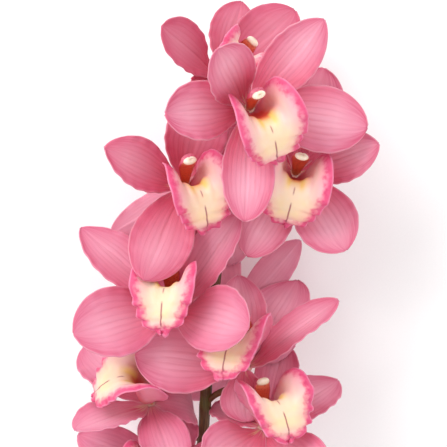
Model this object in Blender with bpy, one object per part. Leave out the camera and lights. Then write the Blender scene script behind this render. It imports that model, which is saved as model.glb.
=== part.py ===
"""A cut cymbidium orchid stem, lying on its back on a flat surface with its blooms facing up.

The frame has +Z up from the surface, +Y along the stem towards its top, and +X to the right of
someone who looks down on it. The origin is on the surface, below the middle of the outline.

A bloom is three sepals, two petals, a lip and a column. Its own frame has +X to its right and
+Y towards its top sepal, as seen from in front, and +Z straight out of its face.
"""

import math
from dataclasses import dataclass, field

import bpy
import numpy as np
from mathutils.bvhtree import BVHTree

MM = 0.001  # the sizes below are in millimetres, and meshes are written in metres
TO_THE_RIGHT = np.array([1.0, 0, 0])

# The stem: a straight flower stalk that tapers upwards and sinks to the surface at its cut end.
STEM_RADIUS_CUT = 4.6
STEM_RADIUS_TOP = 2.2
STEM_SIDES = 10
STEM_ROUTE = [  # centre line from the cut end to the top, x, y, z
    (-22, -300, 4.6),
    (-20, -215, 9),
    (-17, -130, 25),
    (-14, -60, 44),
    (-11, 10, 56),
    (-6, 75, 62),
    (1, 130, 64),
    (8, 176, 64),
    (11, 203, 64),
]
STEM_RINGS = 24
SHEATHS = [(-268, 62), (-196, 58), (-122, 52)]  # y of the foot of each dry sheath, and its length
SHEATH_RING_SHARES = (0, 0.3, 0.8, 1)  # where along a sheath its rings are
SHEATH_FOOT_WALL = 0.2
SHEATH_WALL = 0.9
SHEATH_SLANT = 1.6  # how far the mouth leans, in y for each millimetre of height

PEDICEL_RADIUS = 1.7  # where a flower stalk leaves the stem
OVARY_RADIUS = 2.7  # where it meets the bloom
PEDICEL_SIDES = 7
PEDICEL_RINGS = 7
OVARY_NECK = 3  # straight stretch behind the bloom
OVARY_SWELLS = (-0.1, 1.3)  # the stretch of an even swelling that the stalk's rings cover
PEDICEL_LEAVES = 0.35  # shares of the stalk's reach that shape its bend
PEDICEL_RISES = 0.25
PEDICEL_ARRIVES = 0.42
SEAT_GAP = 0.3  # between pieces that touch

# A bloom at size 1.
SEPAL = {"length": 59, "width": 36, "claw": 0.15, "widest": 0.60, "roundness": 0.54}
PETAL = {"length": 61, "width": 30, "claw": 0.16, "widest": 0.56, "roundness": 0.63}
BLADE_MIDDLE = 1.5  # thickness along the midrib near the base
BLADE_EDGE = 0.7  # thickness at the margin and the tip
BLADE_TAPER = 0.6  # share of the midrib's extra thickness that is gone at the tip
TEPAL_ACROSS = 4  # faces across a blade and along it
TEPAL_ALONG = 6
ROW_SWELL = 0.06  # draws the rows of faces together towards the tip
LIFT_BEGINS = -0.04  # stretch of the midrib over which a tepal turns out of the face
LIFT_OVER = 0.2
TWIST_OVER = 0.45
CUP_AT_BASE = 0.35  # share of the cup that a tepal has at its base and tip
CUP_LEAN = 1.2  # over 1, the cup is deepest past the middle
LEAST_CUP = 1e-4  # keeps the arc across a blade from having no bend at all
BLUNT_TIP = 0.9985  # share of a tepal's length at which its outline closes
RIPPLES = 1.35  # waves along each margin
RIPPLE_OFFSET = 0.27  # between the waves of the two margins
RIPPLE_OVER = 0.4

RECEPTACLE_RADIUS = 3.9
TEPAL_START = 2.3  # distance of a tepal's base from the middle of the receptacle
RECEPTACLE_BACK = -2.4
RECEPTACLE_FRONT = 1.2
RECEPTACLE_TAPER = 0.6

COLUMN_ROUTE = [(0.4, 1.8), (0.8, 4.0), (3.2, 11.0), (5.6, 19.0), (6.4, 27.0)]  # y, z along its axis
COLUMN_HALF_WIDTHS = [2.4, 3.0, 4.0, 5.0, 4.9]
COLUMN_HALF_DEPTHS = [1.9, 1.9, 2.0, 2.6, 3.0]
COLUMN_SIDES = 8
CAP_LENGTH = 3.8
CAP_HALF_WIDTH = 3.9
CAP_HALF_DEPTH = 2.2
CAP_DROP = 0.7  # the cap sits this far towards the lip, below the column's rim
CAP_RING_SHARES = [0.35, 0.75, 1]  # where along the cap its rings are, after its seat
CAP_RING_SIZES = [0.9, 1.0, 0.8, 0.35]

LIP_ROUTE = [  # y, z along the middle of the lip
    (-3.2, 2.6),
    (-5.8, 9),
    (-6.6, 17),
    (-8, 24),
    (-13, 28.2),
    (-20, 26.6),
    (-27, 21.2),
    (-32, 14),
]
LIP_GIRTH = [5.0, 18.0, 25.0, 26.0, 21.5, 16.5, 13.5, 6.0]  # half the width, measured over the surface
LIP_WALL = [64, 84, 86, 76, 42, 14, 4, 0]  # how steeply the sides rise, degrees
LIP_FLARE = [0, 18, 36, 48, 46, 38, 30, 20]  # how far the margins roll back out, degrees
LIP_THICKNESS = 0.9
LIP_KEEL = 1.1  # height of the two ridges along the middle of the lip
KEEL_AT = 0.42  # where they are highest along the lip, and how far they reach from there
KEEL_REACH = 0.17
KEEL_ACROSS = 0.25  # the same across the lip
KEEL_WIDTH = 0.1
WALL_SHARE = 0.55  # share of the half width over which the sides steepen
LIP_ACROSS = 8
LIP_ALONG = 8
FINE = 80  # steps in which a midrib or a lip's side is summed up
NEAR = 0.01  # share of the lip's length over which its direction is measured

# Crowded tepals push each other aside until they are clear.
SETTLE_ROUNDS = 60
SETTLE_SHARE = 0.7  # share of a push that a blade gives way to in one round
BEND_SMOOTHNESS = 0.85  # 1 lets a blade only bend in plain arches
MOST_BEND = 16
CLEARANCE = 1.6  # between the middle of a blade and the piece beside it
SKIN_CLEARANCE = 0.9
FAR = 1000.0
OVER = [  # a tepal that lies over every piece of another bloom
    ("bloom_02 sepal_left", "bloom_03"),
    ("bloom_03 sepal_left", "bloom_05"),
]

LOOKS = {  # linear colour, and roughness
    "tepals": ((0.80, 0.20, 0.31), 0.5),
    "lip": ((0.90, 0.66, 0.45), 0.5),
    "column": ((0.60, 0.06, 0.10), 0.45),
    "cap": ((0.86, 0.78, 0.62), 0.5),
    "stem": ((0.13, 0.12, 0.04), 0.5),
}


@dataclass
class Tepal:
    """How one sepal or petal stands. Angles are in degrees."""

    kind: dict
    swing: float  # direction in the bloom's face, anticlockwise from its right
    lift: float = 18  # how far its base rises out of the face
    curl: float = -22  # how much of that it has lost by the tip
    hook: float = 14  # how far the last stretch turns forward
    sweep: float = 0  # how far it curves sideways
    cup: float = 24  # how far its margins turn forward
    twist: float = 0
    length: float = 1.0
    width: float = 1.0
    wave: float = 0.8


@dataclass
class Bloom:
    """Where one bloom is and which way it looks."""

    name: str
    at: tuple  # its middle, x, y, z
    turn: float  # it looks to the right of straight up by this angle
    tip: float  # and this far towards the top of the stem
    roll: float  # its top sepal leans to the left by this angle
    node: float  # y of the place where its stalk leaves the stem
    size: float = 1.0
    lip_girth: float = 1.0  # under 1 on a bloom that has just opened, whose lip is still rolled up
    tepals: dict = field(default_factory=dict)


USUAL = {
    "dorsal": Tepal(SEPAL, 90, lift=30, curl=-20),
    "petal_left": Tepal(PETAL, 158, lift=22),
    "petal_right": Tepal(PETAL, 22, lift=22),
    "sepal_left": Tepal(SEPAL, 232, lift=12),
    "sepal_right": Tepal(SEPAL, 308, lift=12),
}

# Blooms 01 to 09 face up, from the top of the stem down, and 10 and 11 face the surface behind them.
BLOOMS = [
    Bloom(
        "bloom_01", (-2, 205, 72), turn=50, tip=38, roll=-60, node=196, size=0.95, lip_girth=0.72,
        tepals={
            "dorsal": {"swing": 84, "lift": 48, "length": 1.1},
            "petal_left": {"swing": 112, "lift": 30, "twist": -20, "length": 0.95},
            "petal_right": {"swing": 20, "lift": 20},
            "sepal_left": {"swing": 222, "lift": 28, "twist": -34, "width": 0.85},
            "sepal_right": {"swing": 286, "lift": -10, "length": 0.5},
        },
    ),
    Bloom(
        "bloom_02", (14, 186, 102), turn=14, tip=0, roll=21, node=160,
        tepals={
            "dorsal": {"swing": 114, "lift": 60, "width": 0.9},
            "petal_right": {"swing": 31, "lift": 28},
            "petal_left": {"kind": SEPAL, "swing": 164, "lift": 40, "width": 0.92},
            "sepal_right": {"swing": 330, "lift": 18, "length": 1.08, "width": 1.05},
            "sepal_left": {"swing": 242, "lift": 29, "length": 1.08, "width": 0.86},
        },
    ),
    Bloom(
        "bloom_03", (-22, 144, 77), turn=12, tip=16, roll=16, node=128, lip_girth=0.94,
        tepals={
            "dorsal": {"swing": 64, "lift": 54, "length": 0.9},
            "petal_left": {"swing": 149, "lift": 40, "length": 0.9},
            "petal_right": {"swing": 24, "lift": 12, "length": 0.62},
            "sepal_left": {"swing": 229, "lift": 14},
            "sepal_right": {"swing": 284, "lift": -8, "length": 0.68, "width": 0.9},
        },
    ),
    Bloom(
        "bloom_04", (40, 151, 71), turn=3, tip=6, roll=-13, node=120,
        tepals={
            "dorsal": {"swing": 88, "lift": 26},
            "petal_right": {"swing": 30, "lift": 38, "length": 0.82},
            "petal_left": {"swing": 165, "lift": 8, "length": 0.75},
            "sepal_right": {"swing": 314, "lift": 22, "length": 0.86},
            "sepal_left": {"swing": 252, "lift": 12, "length": 0.88, "width": 0.82},
        },
    ),
    Bloom(
        "bloom_05", (-28, 76, 78), turn=-7, tip=45, roll=-3, node=50, size=1.03, lip_girth=0.9,
        tepals={
            "dorsal": {"swing": 96, "lift": 40},
            "petal_left": {"swing": 149, "lift": 34, "length": 1.08},
            "petal_right": {"swing": 48, "lift": 48},
            "sepal_left": {"swing": 219, "lift": 26, "twist": -34, "width": 1.1},
            "sepal_right": {"swing": 326, "lift": 32, "twist": 34, "width": 1.06},
        },
    ),
    Bloom(
        "bloom_06", (12, 43, 74), turn=-12, tip=58, roll=-10, node=20, size=1.02,
        tepals={
            "dorsal": {"swing": 82, "lift": 22, "length": 1.12},
            "petal_right": {"swing": 36, "lift": 38},
            "petal_left": {"swing": 110, "lift": 52, "length": 0.85},
            "sepal_left": {"swing": 206, "lift": 28, "twist": -44, "width": 1.1},
            "sepal_right": {"swing": 284, "lift": -58, "length": 0.5, "width": 0.8},
        },
    ),
    Bloom(
        "bloom_07", (22, 9, 74), turn=8, tip=56, roll=18, node=-20,
        tepals={
            "dorsal": {"swing": 54, "lift": 26, "width": 0.7},
            "petal_right": {"swing": 16, "lift": 18, "width": 1.15, "length": 0.9},
            "petal_left": {"swing": 114, "lift": 2, "length": 0.56},
            "sepal_left": {"swing": 214, "lift": 20, "twist": -30},
            "sepal_right": {"swing": 276, "lift": 12, "twist": 20, "length": 0.9},
        },
    ),
    Bloom(
        "bloom_08", (-41, 22, 64), turn=-8, tip=42, roll=-78, node=-2, size=0.96,
        tepals={
            "dorsal": {"swing": 90, "lift": 24, "curl": -110, "hook": 0, "length": 0.5},
            "petal_left": {"swing": 165, "lift": 18, "length": 0.62},
            "petal_right": {"swing": 10, "lift": 20},
            "sepal_left": {"swing": 215, "lift": 10},
            "sepal_right": {"swing": 300, "lift": 30, "twist": 20, "length": 0.86},
        },
    ),
    Bloom(
        "bloom_09", (-33, -19, 66), turn=-8, tip=30, roll=0, node=-45,
        tepals={
            "dorsal": {"swing": 88, "lift": 16, "length": 0.66},
            "petal_left": {"length": 0.86},
            "petal_right": {"swing": 10, "length": 0.8},
        },
    ),
    Bloom(
        "bloom_10", (-6, 150, 40), turn=184, tip=3, roll=-5, node=112, size=0.95,
        tepals={
            "petal_right": {"swing": 48, "lift": 76, "curl": -12, "hook": 0},
            "petal_left": {"lift": 68, "curl": -12, "hook": 0},
            "sepal_left": {"swing": 262, "length": 0.9},
            "sepal_right": {"swing": 335, "length": 1.16, "width": 0.6},
        },
    ),
    Bloom(
        "bloom_11", (6, 70, 41), turn=176, tip=2, roll=-27, node=30,
        tepals={
            "petal_left": {"width": 0.7, "length": 0.92},
            "sepal_left": {"length": 0.62},
            "sepal_right": {"swing": 328, "length": 0.9},
        },
    ),
]


def tepals_of(bloom):
    """The five tepals of a bloom with its own changes made."""
    made = {}
    for place, usual in USUAL.items():
        values = dict(usual.__dict__)
        values.update(bloom.tepals.get(place, {}))
        made[place] = Tepal(**values)
    return made


def smooth(value):
    """0 below 0, 1 above 1 and an easy S between them."""
    value = np.clip(value, 0, 1)
    return value * value * (3 - 2 * value)


def through(points, at):
    """Points on a smooth curve through the given ones, where at runs from 0 to 1 by chord length."""
    points = np.asarray(points, float).reshape(len(points), -1)
    steps = np.ones(len(points) - 1)
    if points.shape[1] > 1:
        steps = np.linalg.norm(np.diff(points, axis=0), axis=1)
    knots = np.concatenate([[0], np.cumsum(steps)]) / steps.sum()
    at = np.clip(np.atleast_1d(at), 0, 1)
    slopes = np.empty_like(points)
    slopes[1:-1] = (points[2:] - points[:-2]) / (knots[2:] - knots[:-2])[:, None]
    slopes[0] = (points[1] - points[0]) / (knots[1] - knots[0])
    slopes[-1] = (points[-1] - points[-2]) / (knots[-1] - knots[-2])
    span = np.clip(np.searchsorted(knots, at, side="right") - 1, 0, len(points) - 2)
    width = (knots[span + 1] - knots[span])[:, None]
    t = ((at - knots[span]) / width[:, 0])[:, None]
    return (
        (2 * t**3 - 3 * t**2 + 1) * points[span]
        + (t**3 - 2 * t**2 + t) * width * slopes[span]
        + (3 * t**2 - 2 * t**3) * points[span + 1]
        + (t**3 - t**2) * width * slopes[span + 1]
    )


def half_width(shape, v):
    """Half the width of a tepal at v along it, as a share of its widest."""
    skew = math.log(0.5) / math.log(shape["widest"])
    blade = np.sin(np.pi * np.clip(v, 0, BLUNT_TIP) ** skew) ** shape["roundness"]
    claw = shape["claw"] * (1 - v) ** 2
    return np.sqrt(blade**2 + claw**2)


def midrib(tepal):
    """Fine points, tangents and normals along a tepal's midrib, from base to tip."""
    v = np.linspace(0, 1, FINE + 1)
    lift = tepal.lift * smooth((v - LIFT_BEGINS) / LIFT_OVER)
    rise = np.radians(lift + tepal.curl * v + tepal.hook * v**4)
    heading = np.radians(tepal.swing + tepal.sweep * v)
    along = np.stack([np.cos(heading) * np.cos(rise), np.sin(heading) * np.cos(rise), np.sin(rise)], 1)
    up = np.stack([-np.cos(heading) * np.sin(rise), -np.sin(heading) * np.sin(rise), np.cos(rise)], 1)
    step = tepal.kind["length"] * tepal.length / FINE
    middles = (along[1:] + along[:-1]) / 2
    points = np.concatenate([np.zeros((1, 3)), np.cumsum(middles * step, axis=0)])
    return v, points, along, up


def tepal_surface(tepal, across, along_count):
    """Middle surface of a tepal in its bloom's frame: rows of points from base to tip, and normals."""
    fine, points, tangents, normals = midrib(tepal)
    v = np.linspace(0, 1, along_count + 1)
    v = v + ROW_SWELL * np.sin(np.pi * v) * np.sin(np.pi * v)
    picked = []
    for rows in (points, tangents, normals):
        picked.append(np.stack([np.interp(v, fine, rows[:, k]) for k in range(3)], 1))
    centre, tangent, up = picked
    side = np.cross(up, tangent)
    turn = (math.radians(tepal.twist) * smooth(v / TWIST_OVER))[:, None]
    side, up = side * np.cos(turn) + up * np.sin(turn), up * np.cos(turn) - side * np.sin(turn)
    u = np.linspace(-1, 1, across + 1)
    reach = tepal.kind["width"] / 2 * tepal.width * half_width(tepal.kind, v)
    cup_share = CUP_AT_BASE + (1 - CUP_AT_BASE) * np.sin(np.pi * np.clip(v, 0, 1) ** CUP_LEAN)
    cup = np.radians(tepal.cup) * cup_share + LEAST_CUP
    bow = cup[:, None] * u[None, :]
    out = reach[:, None] * np.sin(bow) / cup[:, None]
    forward = reach[:, None] * (1 - np.cos(bow)) / cup[:, None]
    ripple = np.sin(2 * np.pi * (RIPPLES * v[:, None] + RIPPLE_OFFSET * np.sign(u)[None, :]) + tepal.swing)
    forward = forward + tepal.wave * ripple * np.abs(u[None, :]) ** 3 * smooth(v / RIPPLE_OVER)[:, None]
    base = np.array([math.cos(math.radians(tepal.swing)), math.sin(math.radians(tepal.swing)), 0.0])
    surface = base * TEPAL_START + centre[:, None, :]
    surface = surface + side[:, None, :] * out[..., None] + up[:, None, :] * forward[..., None]
    return surface, u, v


def lip_surface(spread, across, along_count):
    """Middle surface of the lip in its bloom's frame: a trough with two ears, then the hanging midlobe."""
    s = np.linspace(0, 1, along_count + 1)
    route = through(LIP_ROUTE, s)
    ahead = through(LIP_ROUTE, np.clip(s + NEAR, 0, 1)) - through(LIP_ROUTE, np.clip(s - NEAR, 0, 1))
    ahead = ahead / np.linalg.norm(ahead, axis=1)[:, None]
    inward = np.stack([ahead[:, 1], -ahead[:, 0]], 1)  # y, z: towards the column, then out of the face
    girth = through(LIP_GIRTH, s)[:, 0] * spread
    wall = np.radians(through(LIP_WALL, s)[:, 0])
    flare = np.radians(through(LIP_FLARE, s)[:, 0])
    u = np.linspace(-1, 1, across + 1)
    fine = np.linspace(0, 1, FINE + 1)
    surface = np.zeros((len(s), len(u), 3))
    keel = LIP_KEEL * np.exp(-(((s - KEEL_AT) / KEEL_REACH) ** 2))
    for row in range(len(s)):
        steepening = smooth(fine / WALL_SHARE)
        rolling = smooth((fine - WALL_SHARE) / (1 - WALL_SHARE))
        angle = wall[row] * steepening - flare[row] * rolling
        middles = (angle[1:] + angle[:-1]) / 2
        out = np.concatenate([[0], np.cumsum(np.cos(middles))]) / FINE * girth[row]
        rise = np.concatenate([[0], np.cumsum(np.sin(middles))]) / FINE * girth[row]
        h = np.interp(np.abs(u), fine, rise)
        h += keel[row] * np.exp(-(((np.abs(u) - KEEL_ACROSS) / KEEL_WIDTH) ** 2))
        surface[row, :, 0] = np.sign(u) * np.interp(np.abs(u), fine, out)
        surface[row, :, 1] = route[row, 0] + inward[row, 0] * h
        surface[row, :, 2] = route[row, 1] + inward[row, 1] * h
    return surface, u, s


def bloom_rotation(bloom):
    """3x3 matrix that turns the bloom's own directions into the stem's."""
    turn, tip, roll = (math.radians(a) for a in (bloom.turn, bloom.tip, bloom.roll))
    c, s = math.cos(roll), math.sin(roll)
    about_z = np.array([[c, -s, 0], [s, c, 0], [0, 0, 1]])
    c, s = math.cos(tip), math.sin(tip)
    about_x = np.array([[1, 0, 0], [0, c, s], [0, -s, c]])
    c, s = math.cos(turn), math.sin(turn)
    about_y = np.array([[c, 0, s], [0, 1, 0], [-s, 0, c]])
    return about_y @ about_x @ about_z


def placed(bloom, points):
    """Points of the bloom's own frame, in the stem's frame, in millimetres."""
    return points * bloom.size @ bloom_rotation(bloom).T + np.array(bloom.at, float)


def pedicel_route(bloom):
    """Centre line of a bloom's stalk and ovary, from its node on the stem to just behind the bloom."""
    stem = through(STEM_ROUTE, np.linspace(0, 1, 200))
    start = np.array([np.interp(bloom.node, stem[:, 1], stem[:, k]) for k in range(3)])
    facing = bloom_rotation(bloom)[:, 2]
    seat = np.array(bloom.at, float) + facing * (RECEPTACLE_BACK * bloom.size - SEAT_GAP)
    end = seat - facing * OVARY_NECK
    reach = np.linalg.norm(end - start)
    leave = start + PEDICEL_LEAVES * (end - start) + np.array([0, PEDICEL_RISES, 0]) * reach
    arrive = end - facing * PEDICEL_ARRIVES * reach
    t = np.linspace(0, 1, PEDICEL_RINGS - 1)[:, None]
    route = (1 - t) ** 3 * start + 3 * t * (1 - t) ** 2 * leave + 3 * t**2 * (1 - t) * arrive + t**3 * end
    return np.concatenate([route, seat[None, :]])


def normals_of(surface):
    """Unit normals of a grid of points, on the side that its rows and columns turn towards."""
    normal = np.cross(np.gradient(surface, axis=1), np.gradient(surface, axis=0))
    return normal / np.maximum(np.linalg.norm(normal, axis=2), 1e-9)[..., None]


def sheet_solid(surface, thickness):
    """Closed mesh of a grid of points made thick, split into triangles alike on both faces."""
    rows, columns = surface.shape[:2]
    shift = normals_of(surface) * thickness[..., None] / 2
    points = np.concatenate([(surface + shift).reshape(-1, 3), (surface - shift).reshape(-1, 3)])
    index = np.arange(rows * columns).reshape(rows, columns)
    near, far = index[:-1], index[1:]
    quads = np.stack([near[:, :-1], near[:, 1:], far[:, 1:], far[:, :-1]], 2).reshape(-1, 4)
    front = np.concatenate([quads[:, [0, 1, 2]], quads[:, [0, 2, 3]]])
    rim = np.concatenate([index[0, :-1], index[:-1, -1], index[-1, :0:-1], index[:0:-1, 0]])
    after = np.roll(rim, -1)
    other = rows * columns
    walls = [np.stack([rim, rim + other, after], 1), np.stack([after, rim + other, after + other], 1)]
    return points, np.concatenate([front, front[:, ::-1] + other] + walls)


def tube_solid(route, half_widths, half_depths, across, sides):
    """Closed tube along a route. Its width lies along the direction given, and its ends are capped."""
    route = np.asarray(route, float)
    angle = np.arange(sides) * 2 * math.pi / sides
    rings = []
    for k, centre in enumerate(route):
        ahead = route[min(k + 1, len(route) - 1)] - route[max(k - 1, 0)]
        ahead = ahead / np.linalg.norm(ahead)
        wide = across - ahead * (across @ ahead)
        wide = wide / np.linalg.norm(wide)
        deep = np.cross(ahead, wide)
        ring = centre + half_widths[k] * np.cos(angle)[:, None] * wide
        rings.append(ring + half_depths[k] * np.sin(angle)[:, None] * deep)
    points = np.concatenate(rings + [route[:1], route[-1:]])
    first, last = len(points) - 2, len(points) - 1
    faces = []
    for k in range(len(route) - 1):
        for a in range(sides):
            b = (a + 1) % sides
            low, high = k * sides, (k + 1) * sides
            faces += [(low + a, low + b, high + b), (low + a, high + b, high + a)]
    top = (len(route) - 1) * sides
    for a in range(sides):
        b = (a + 1) % sides
        faces += [(first, b, a), (last, top + a, top + b)]
    return points, np.array(faces)


def blade_solid(surface):
    """A sepal or petal with the given middle surface as a closed blade, thickest along its midrib."""
    v = np.linspace(0, 1, surface.shape[0])
    u = np.linspace(-1, 1, surface.shape[1])
    middle = (1 - u[None, :] ** 2) * (1 - BLADE_TAPER * v[:, None])
    thickness = BLADE_EDGE + (BLADE_MIDDLE - BLADE_EDGE) * middle
    points, faces = sheet_solid(surface, thickness)
    return kept_above_surface(points, len(points) // 2), faces


def kept_above_surface(points, half):
    """A blade that reaches the surface lies flat on it, and keeps its thickness there."""
    points = points.copy()
    points[:, 2] = np.maximum(points[:, 2], 0)
    front, back = points[:half], points[half:]
    thin = np.abs(front[:, 2] - back[:, 2]) < BLADE_EDGE
    lying = thin & (np.minimum(front[:, 2], back[:, 2]) <= 0)
    upper_is_front = front[:, 2] >= back[:, 2]
    front[lying & upper_is_front, 2] = BLADE_EDGE
    back[lying & ~upper_is_front, 2] = BLADE_EDGE
    return points


def receptacle_solid(bloom):
    """The small disc that a bloom's sepals and petals grow from."""
    route = np.array([(0, 0, RECEPTACLE_BACK), (0, 0, 0), (0, 0, RECEPTACLE_FRONT)])
    radii = np.array([OVARY_RADIUS, RECEPTACLE_RADIUS, RECEPTACLE_RADIUS * RECEPTACLE_TAPER])
    points, faces = tube_solid(route, radii, radii, TO_THE_RIGHT, PEDICEL_SIDES)
    return placed(bloom, points), faces


def lip_solid(bloom):
    """The lip of a bloom as a closed sheet in the stem's frame."""
    surface, u, v = lip_surface(bloom.lip_girth, LIP_ACROSS, LIP_ALONG)
    thickness = np.full(surface.shape[:2], LIP_THICKNESS)
    return sheet_solid(placed(bloom, surface), thickness)


def column_solid(bloom):
    """The column, an arched rod that is widest below its tip."""
    at = np.linspace(0, 1, len(COLUMN_HALF_WIDTHS))
    route = np.array([(0, y, z) for y, z in through(COLUMN_ROUTE, at)])
    points, faces = tube_solid(route, COLUMN_HALF_WIDTHS, COLUMN_HALF_DEPTHS, TO_THE_RIGHT, COLUMN_SIDES)
    return placed(bloom, points), faces


def cap_solid(bloom):
    """The anther cap on the end of the column."""
    end = np.array([0.0, *COLUMN_ROUTE[-1]])
    before = np.array([0.0, *COLUMN_ROUTE[-2]])
    ahead = (end - before) / np.linalg.norm(end - before)
    steps = np.array([SEAT_GAP] + [CAP_LENGTH * share for share in CAP_RING_SHARES])
    route = end - np.array([0, CAP_DROP, 0]) + steps[:, None] * ahead
    sizes = np.array(CAP_RING_SIZES)
    points, faces = tube_solid(
        route, sizes * CAP_HALF_WIDTH, sizes * CAP_HALF_DEPTH, TO_THE_RIGHT, COLUMN_SIDES
    )
    return placed(bloom, points), faces


def stem_at(y):
    """Middle of the stem and its radius at a given y."""
    share = np.linspace(0, 1, 400)
    at = float(np.interp(y, through(STEM_ROUTE, share)[:, 1], share))
    return through(STEM_ROUTE, at)[0], STEM_RADIUS_CUT + (STEM_RADIUS_TOP - STEM_RADIUS_CUT) * at


def sheath_solid(y, length):
    """A dry sheath round the lower stem, with a slanting mouth."""
    middles = []
    radii = []
    for share in SHEATH_RING_SHARES:
        middle, radius = stem_at(y + share * length)
        middles.append(middle)
        radii.append(radius + (SHEATH_WALL if share else SHEATH_FOOT_WALL))
    points, faces = tube_solid(middles, radii, radii, TO_THE_RIGHT, STEM_SIDES)
    mouth = slice(2 * STEM_SIDES, 4 * STEM_SIDES)
    mouth_heights = np.repeat([middle[2] for middle in middles[2:]], STEM_SIDES)
    points[mouth, 1] += SHEATH_SLANT * (points[mouth, 2] - mouth_heights)
    return points, faces


def stem_solids():
    """The flower stalk, and a stalk with its ovary for each bloom."""
    at = np.linspace(0, 1, STEM_RINGS)
    route = through(STEM_ROUTE, at)
    radii = STEM_RADIUS_CUT + (STEM_RADIUS_TOP - STEM_RADIUS_CUT) * at
    solids = [tube_solid(route, radii, radii, TO_THE_RIGHT, STEM_SIDES)]
    for bloom in BLOOMS:
        route = pedicel_route(bloom)
        swelling = smooth(np.linspace(*OVARY_SWELLS, len(route)))
        radii = PEDICEL_RADIUS + (OVARY_RADIUS - PEDICEL_RADIUS) * swelling
        solids.append(tube_solid(route, radii, radii, TO_THE_RIGHT, PEDICEL_SIDES))
    return solids


def tree_of(solid):
    """A search tree over a solid's faces, for finding what lies above or below a point."""
    points, faces = solid
    return BVHTree.FromPolygons(points.tolist(), faces.tolist(), all_triangles=True)


def bend_projection():
    """Matrix that turns any raising of a blade's points into a smooth bend that leaves its base alone."""
    v = np.linspace(0, 1, TEPAL_ALONG + 1)
    u = np.linspace(-1, 1, TEPAL_ACROSS + 1)
    bends = [np.outer(v**power, u**order).ravel() for power in (1, 2, 3) for order in (0, 1, 2)]
    bends = np.stack(bends, 1)
    return bends @ np.linalg.pinv(bends)


class Piece:
    """One piece of the spray while its tepals settle. A blade has a grid of middle points."""

    def __init__(self, bloom, kind, solid=None, grid=None):
        """A piece that stays has a solid, and a blade has a grid, from which its solid is made."""
        self.bloom = bloom
        self.kind = kind
        self.grid = grid
        self.raised = None if grid is None else np.zeros(grid.shape[0] * grid.shape[1])
        self.solid = solid
        if grid is None:
            self.probes = np.concatenate([solid[0], solid[0][solid[1]].mean(1)])
        self.refresh()

    def refresh(self):
        """Work the solid, its tree and its box out again after a bend."""
        if self.grid is not None:
            self.solid = blade_solid(self.bent())
            self.middles = self.bent().reshape(-1, 3)
        self.tree = tree_of(self.solid)
        self.low, self.high = self.solid[0].min(0), self.solid[0].max(0)

    def bent(self):
        """The middle points of a blade with its bend."""
        grid = self.grid.copy()
        grid[..., 2] += self.raised.reshape(grid.shape[:2])
        return grid

    def corners(self, face):
        """The middle points of a blade that belong to one of its faces."""
        return {int(corner) % len(self.middles) for corner in self.solid[1][face]}


def crossings(points, piece):
    """Rows of point number, its height, and the hits straight down onto a piece and straight up to it."""
    inside = (points[:, :2] >= piece.low[:2]) & (points[:, :2] <= piece.high[:2])
    rows = []
    for k in np.flatnonzero(inside.all(1)):
        x, y, z = points[k]
        top = piece.tree.ray_cast((x, y, FAR), (0, 0, -1))
        bottom = piece.tree.ray_cast((x, y, -FAR), (0, 0, 1))
        if top[0] is not None and bottom[0] is not None:
            rows.append((k, z, top, bottom))
    return rows


def pieces_of_spray():
    """Every piece that takes part in the settling, the blades first."""
    blades = []
    fixed = []
    for bloom in BLOOMS:
        for place, tepal in tepals_of(bloom).items():
            surface, u, v = tepal_surface(tepal, TEPAL_ACROSS, TEPAL_ALONG)
            blades.append(Piece(bloom, place, grid=placed(bloom, surface)))
        fixed.append(Piece(bloom, "lip", lip_solid(bloom)))
        fixed.append(Piece(bloom, "column", column_solid(bloom)))
        fixed.append(Piece(bloom, "cap", cap_solid(bloom)))
    stalks = stem_solids()
    fixed.append(Piece(None, "stalk", stalks[0]))
    for bloom, solid in zip(BLOOMS, stalks[1:]):
        fixed.append(Piece(bloom, "stalk", solid))
    return blades, fixed


def neighbours(blade, pieces):
    """The pieces that could meet a blade. The tepals of one bloom grow together, so they don't count."""
    found = []
    for piece in pieces:
        if piece.bloom is blade.bloom and (piece.grid is not None or piece.kind == "stalk"):
            continue
        if (piece.low[:2] < blade.high[:2]).all() and (piece.high[:2] > blade.low[:2]).all():
            found.append(piece)
    return found


def lies_over(blade, piece, heights):
    """Whether a blade passes over a piece, as seen from above."""
    faces_up = bloom_rotation(blade.bloom)[2, 2] > 0
    if piece.kind == "stalk":
        return faces_up
    for front, behind in OVER:
        names = (f"{blade.bloom.name} {blade.kind}", f"{piece.bloom.name} {piece.kind}")
        if names[0].startswith(front) and names[1].startswith(behind):
            return True
        if names[1].startswith(front) and names[0].startswith(behind):
            return False
    return float(np.median(heights)) > 0


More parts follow.
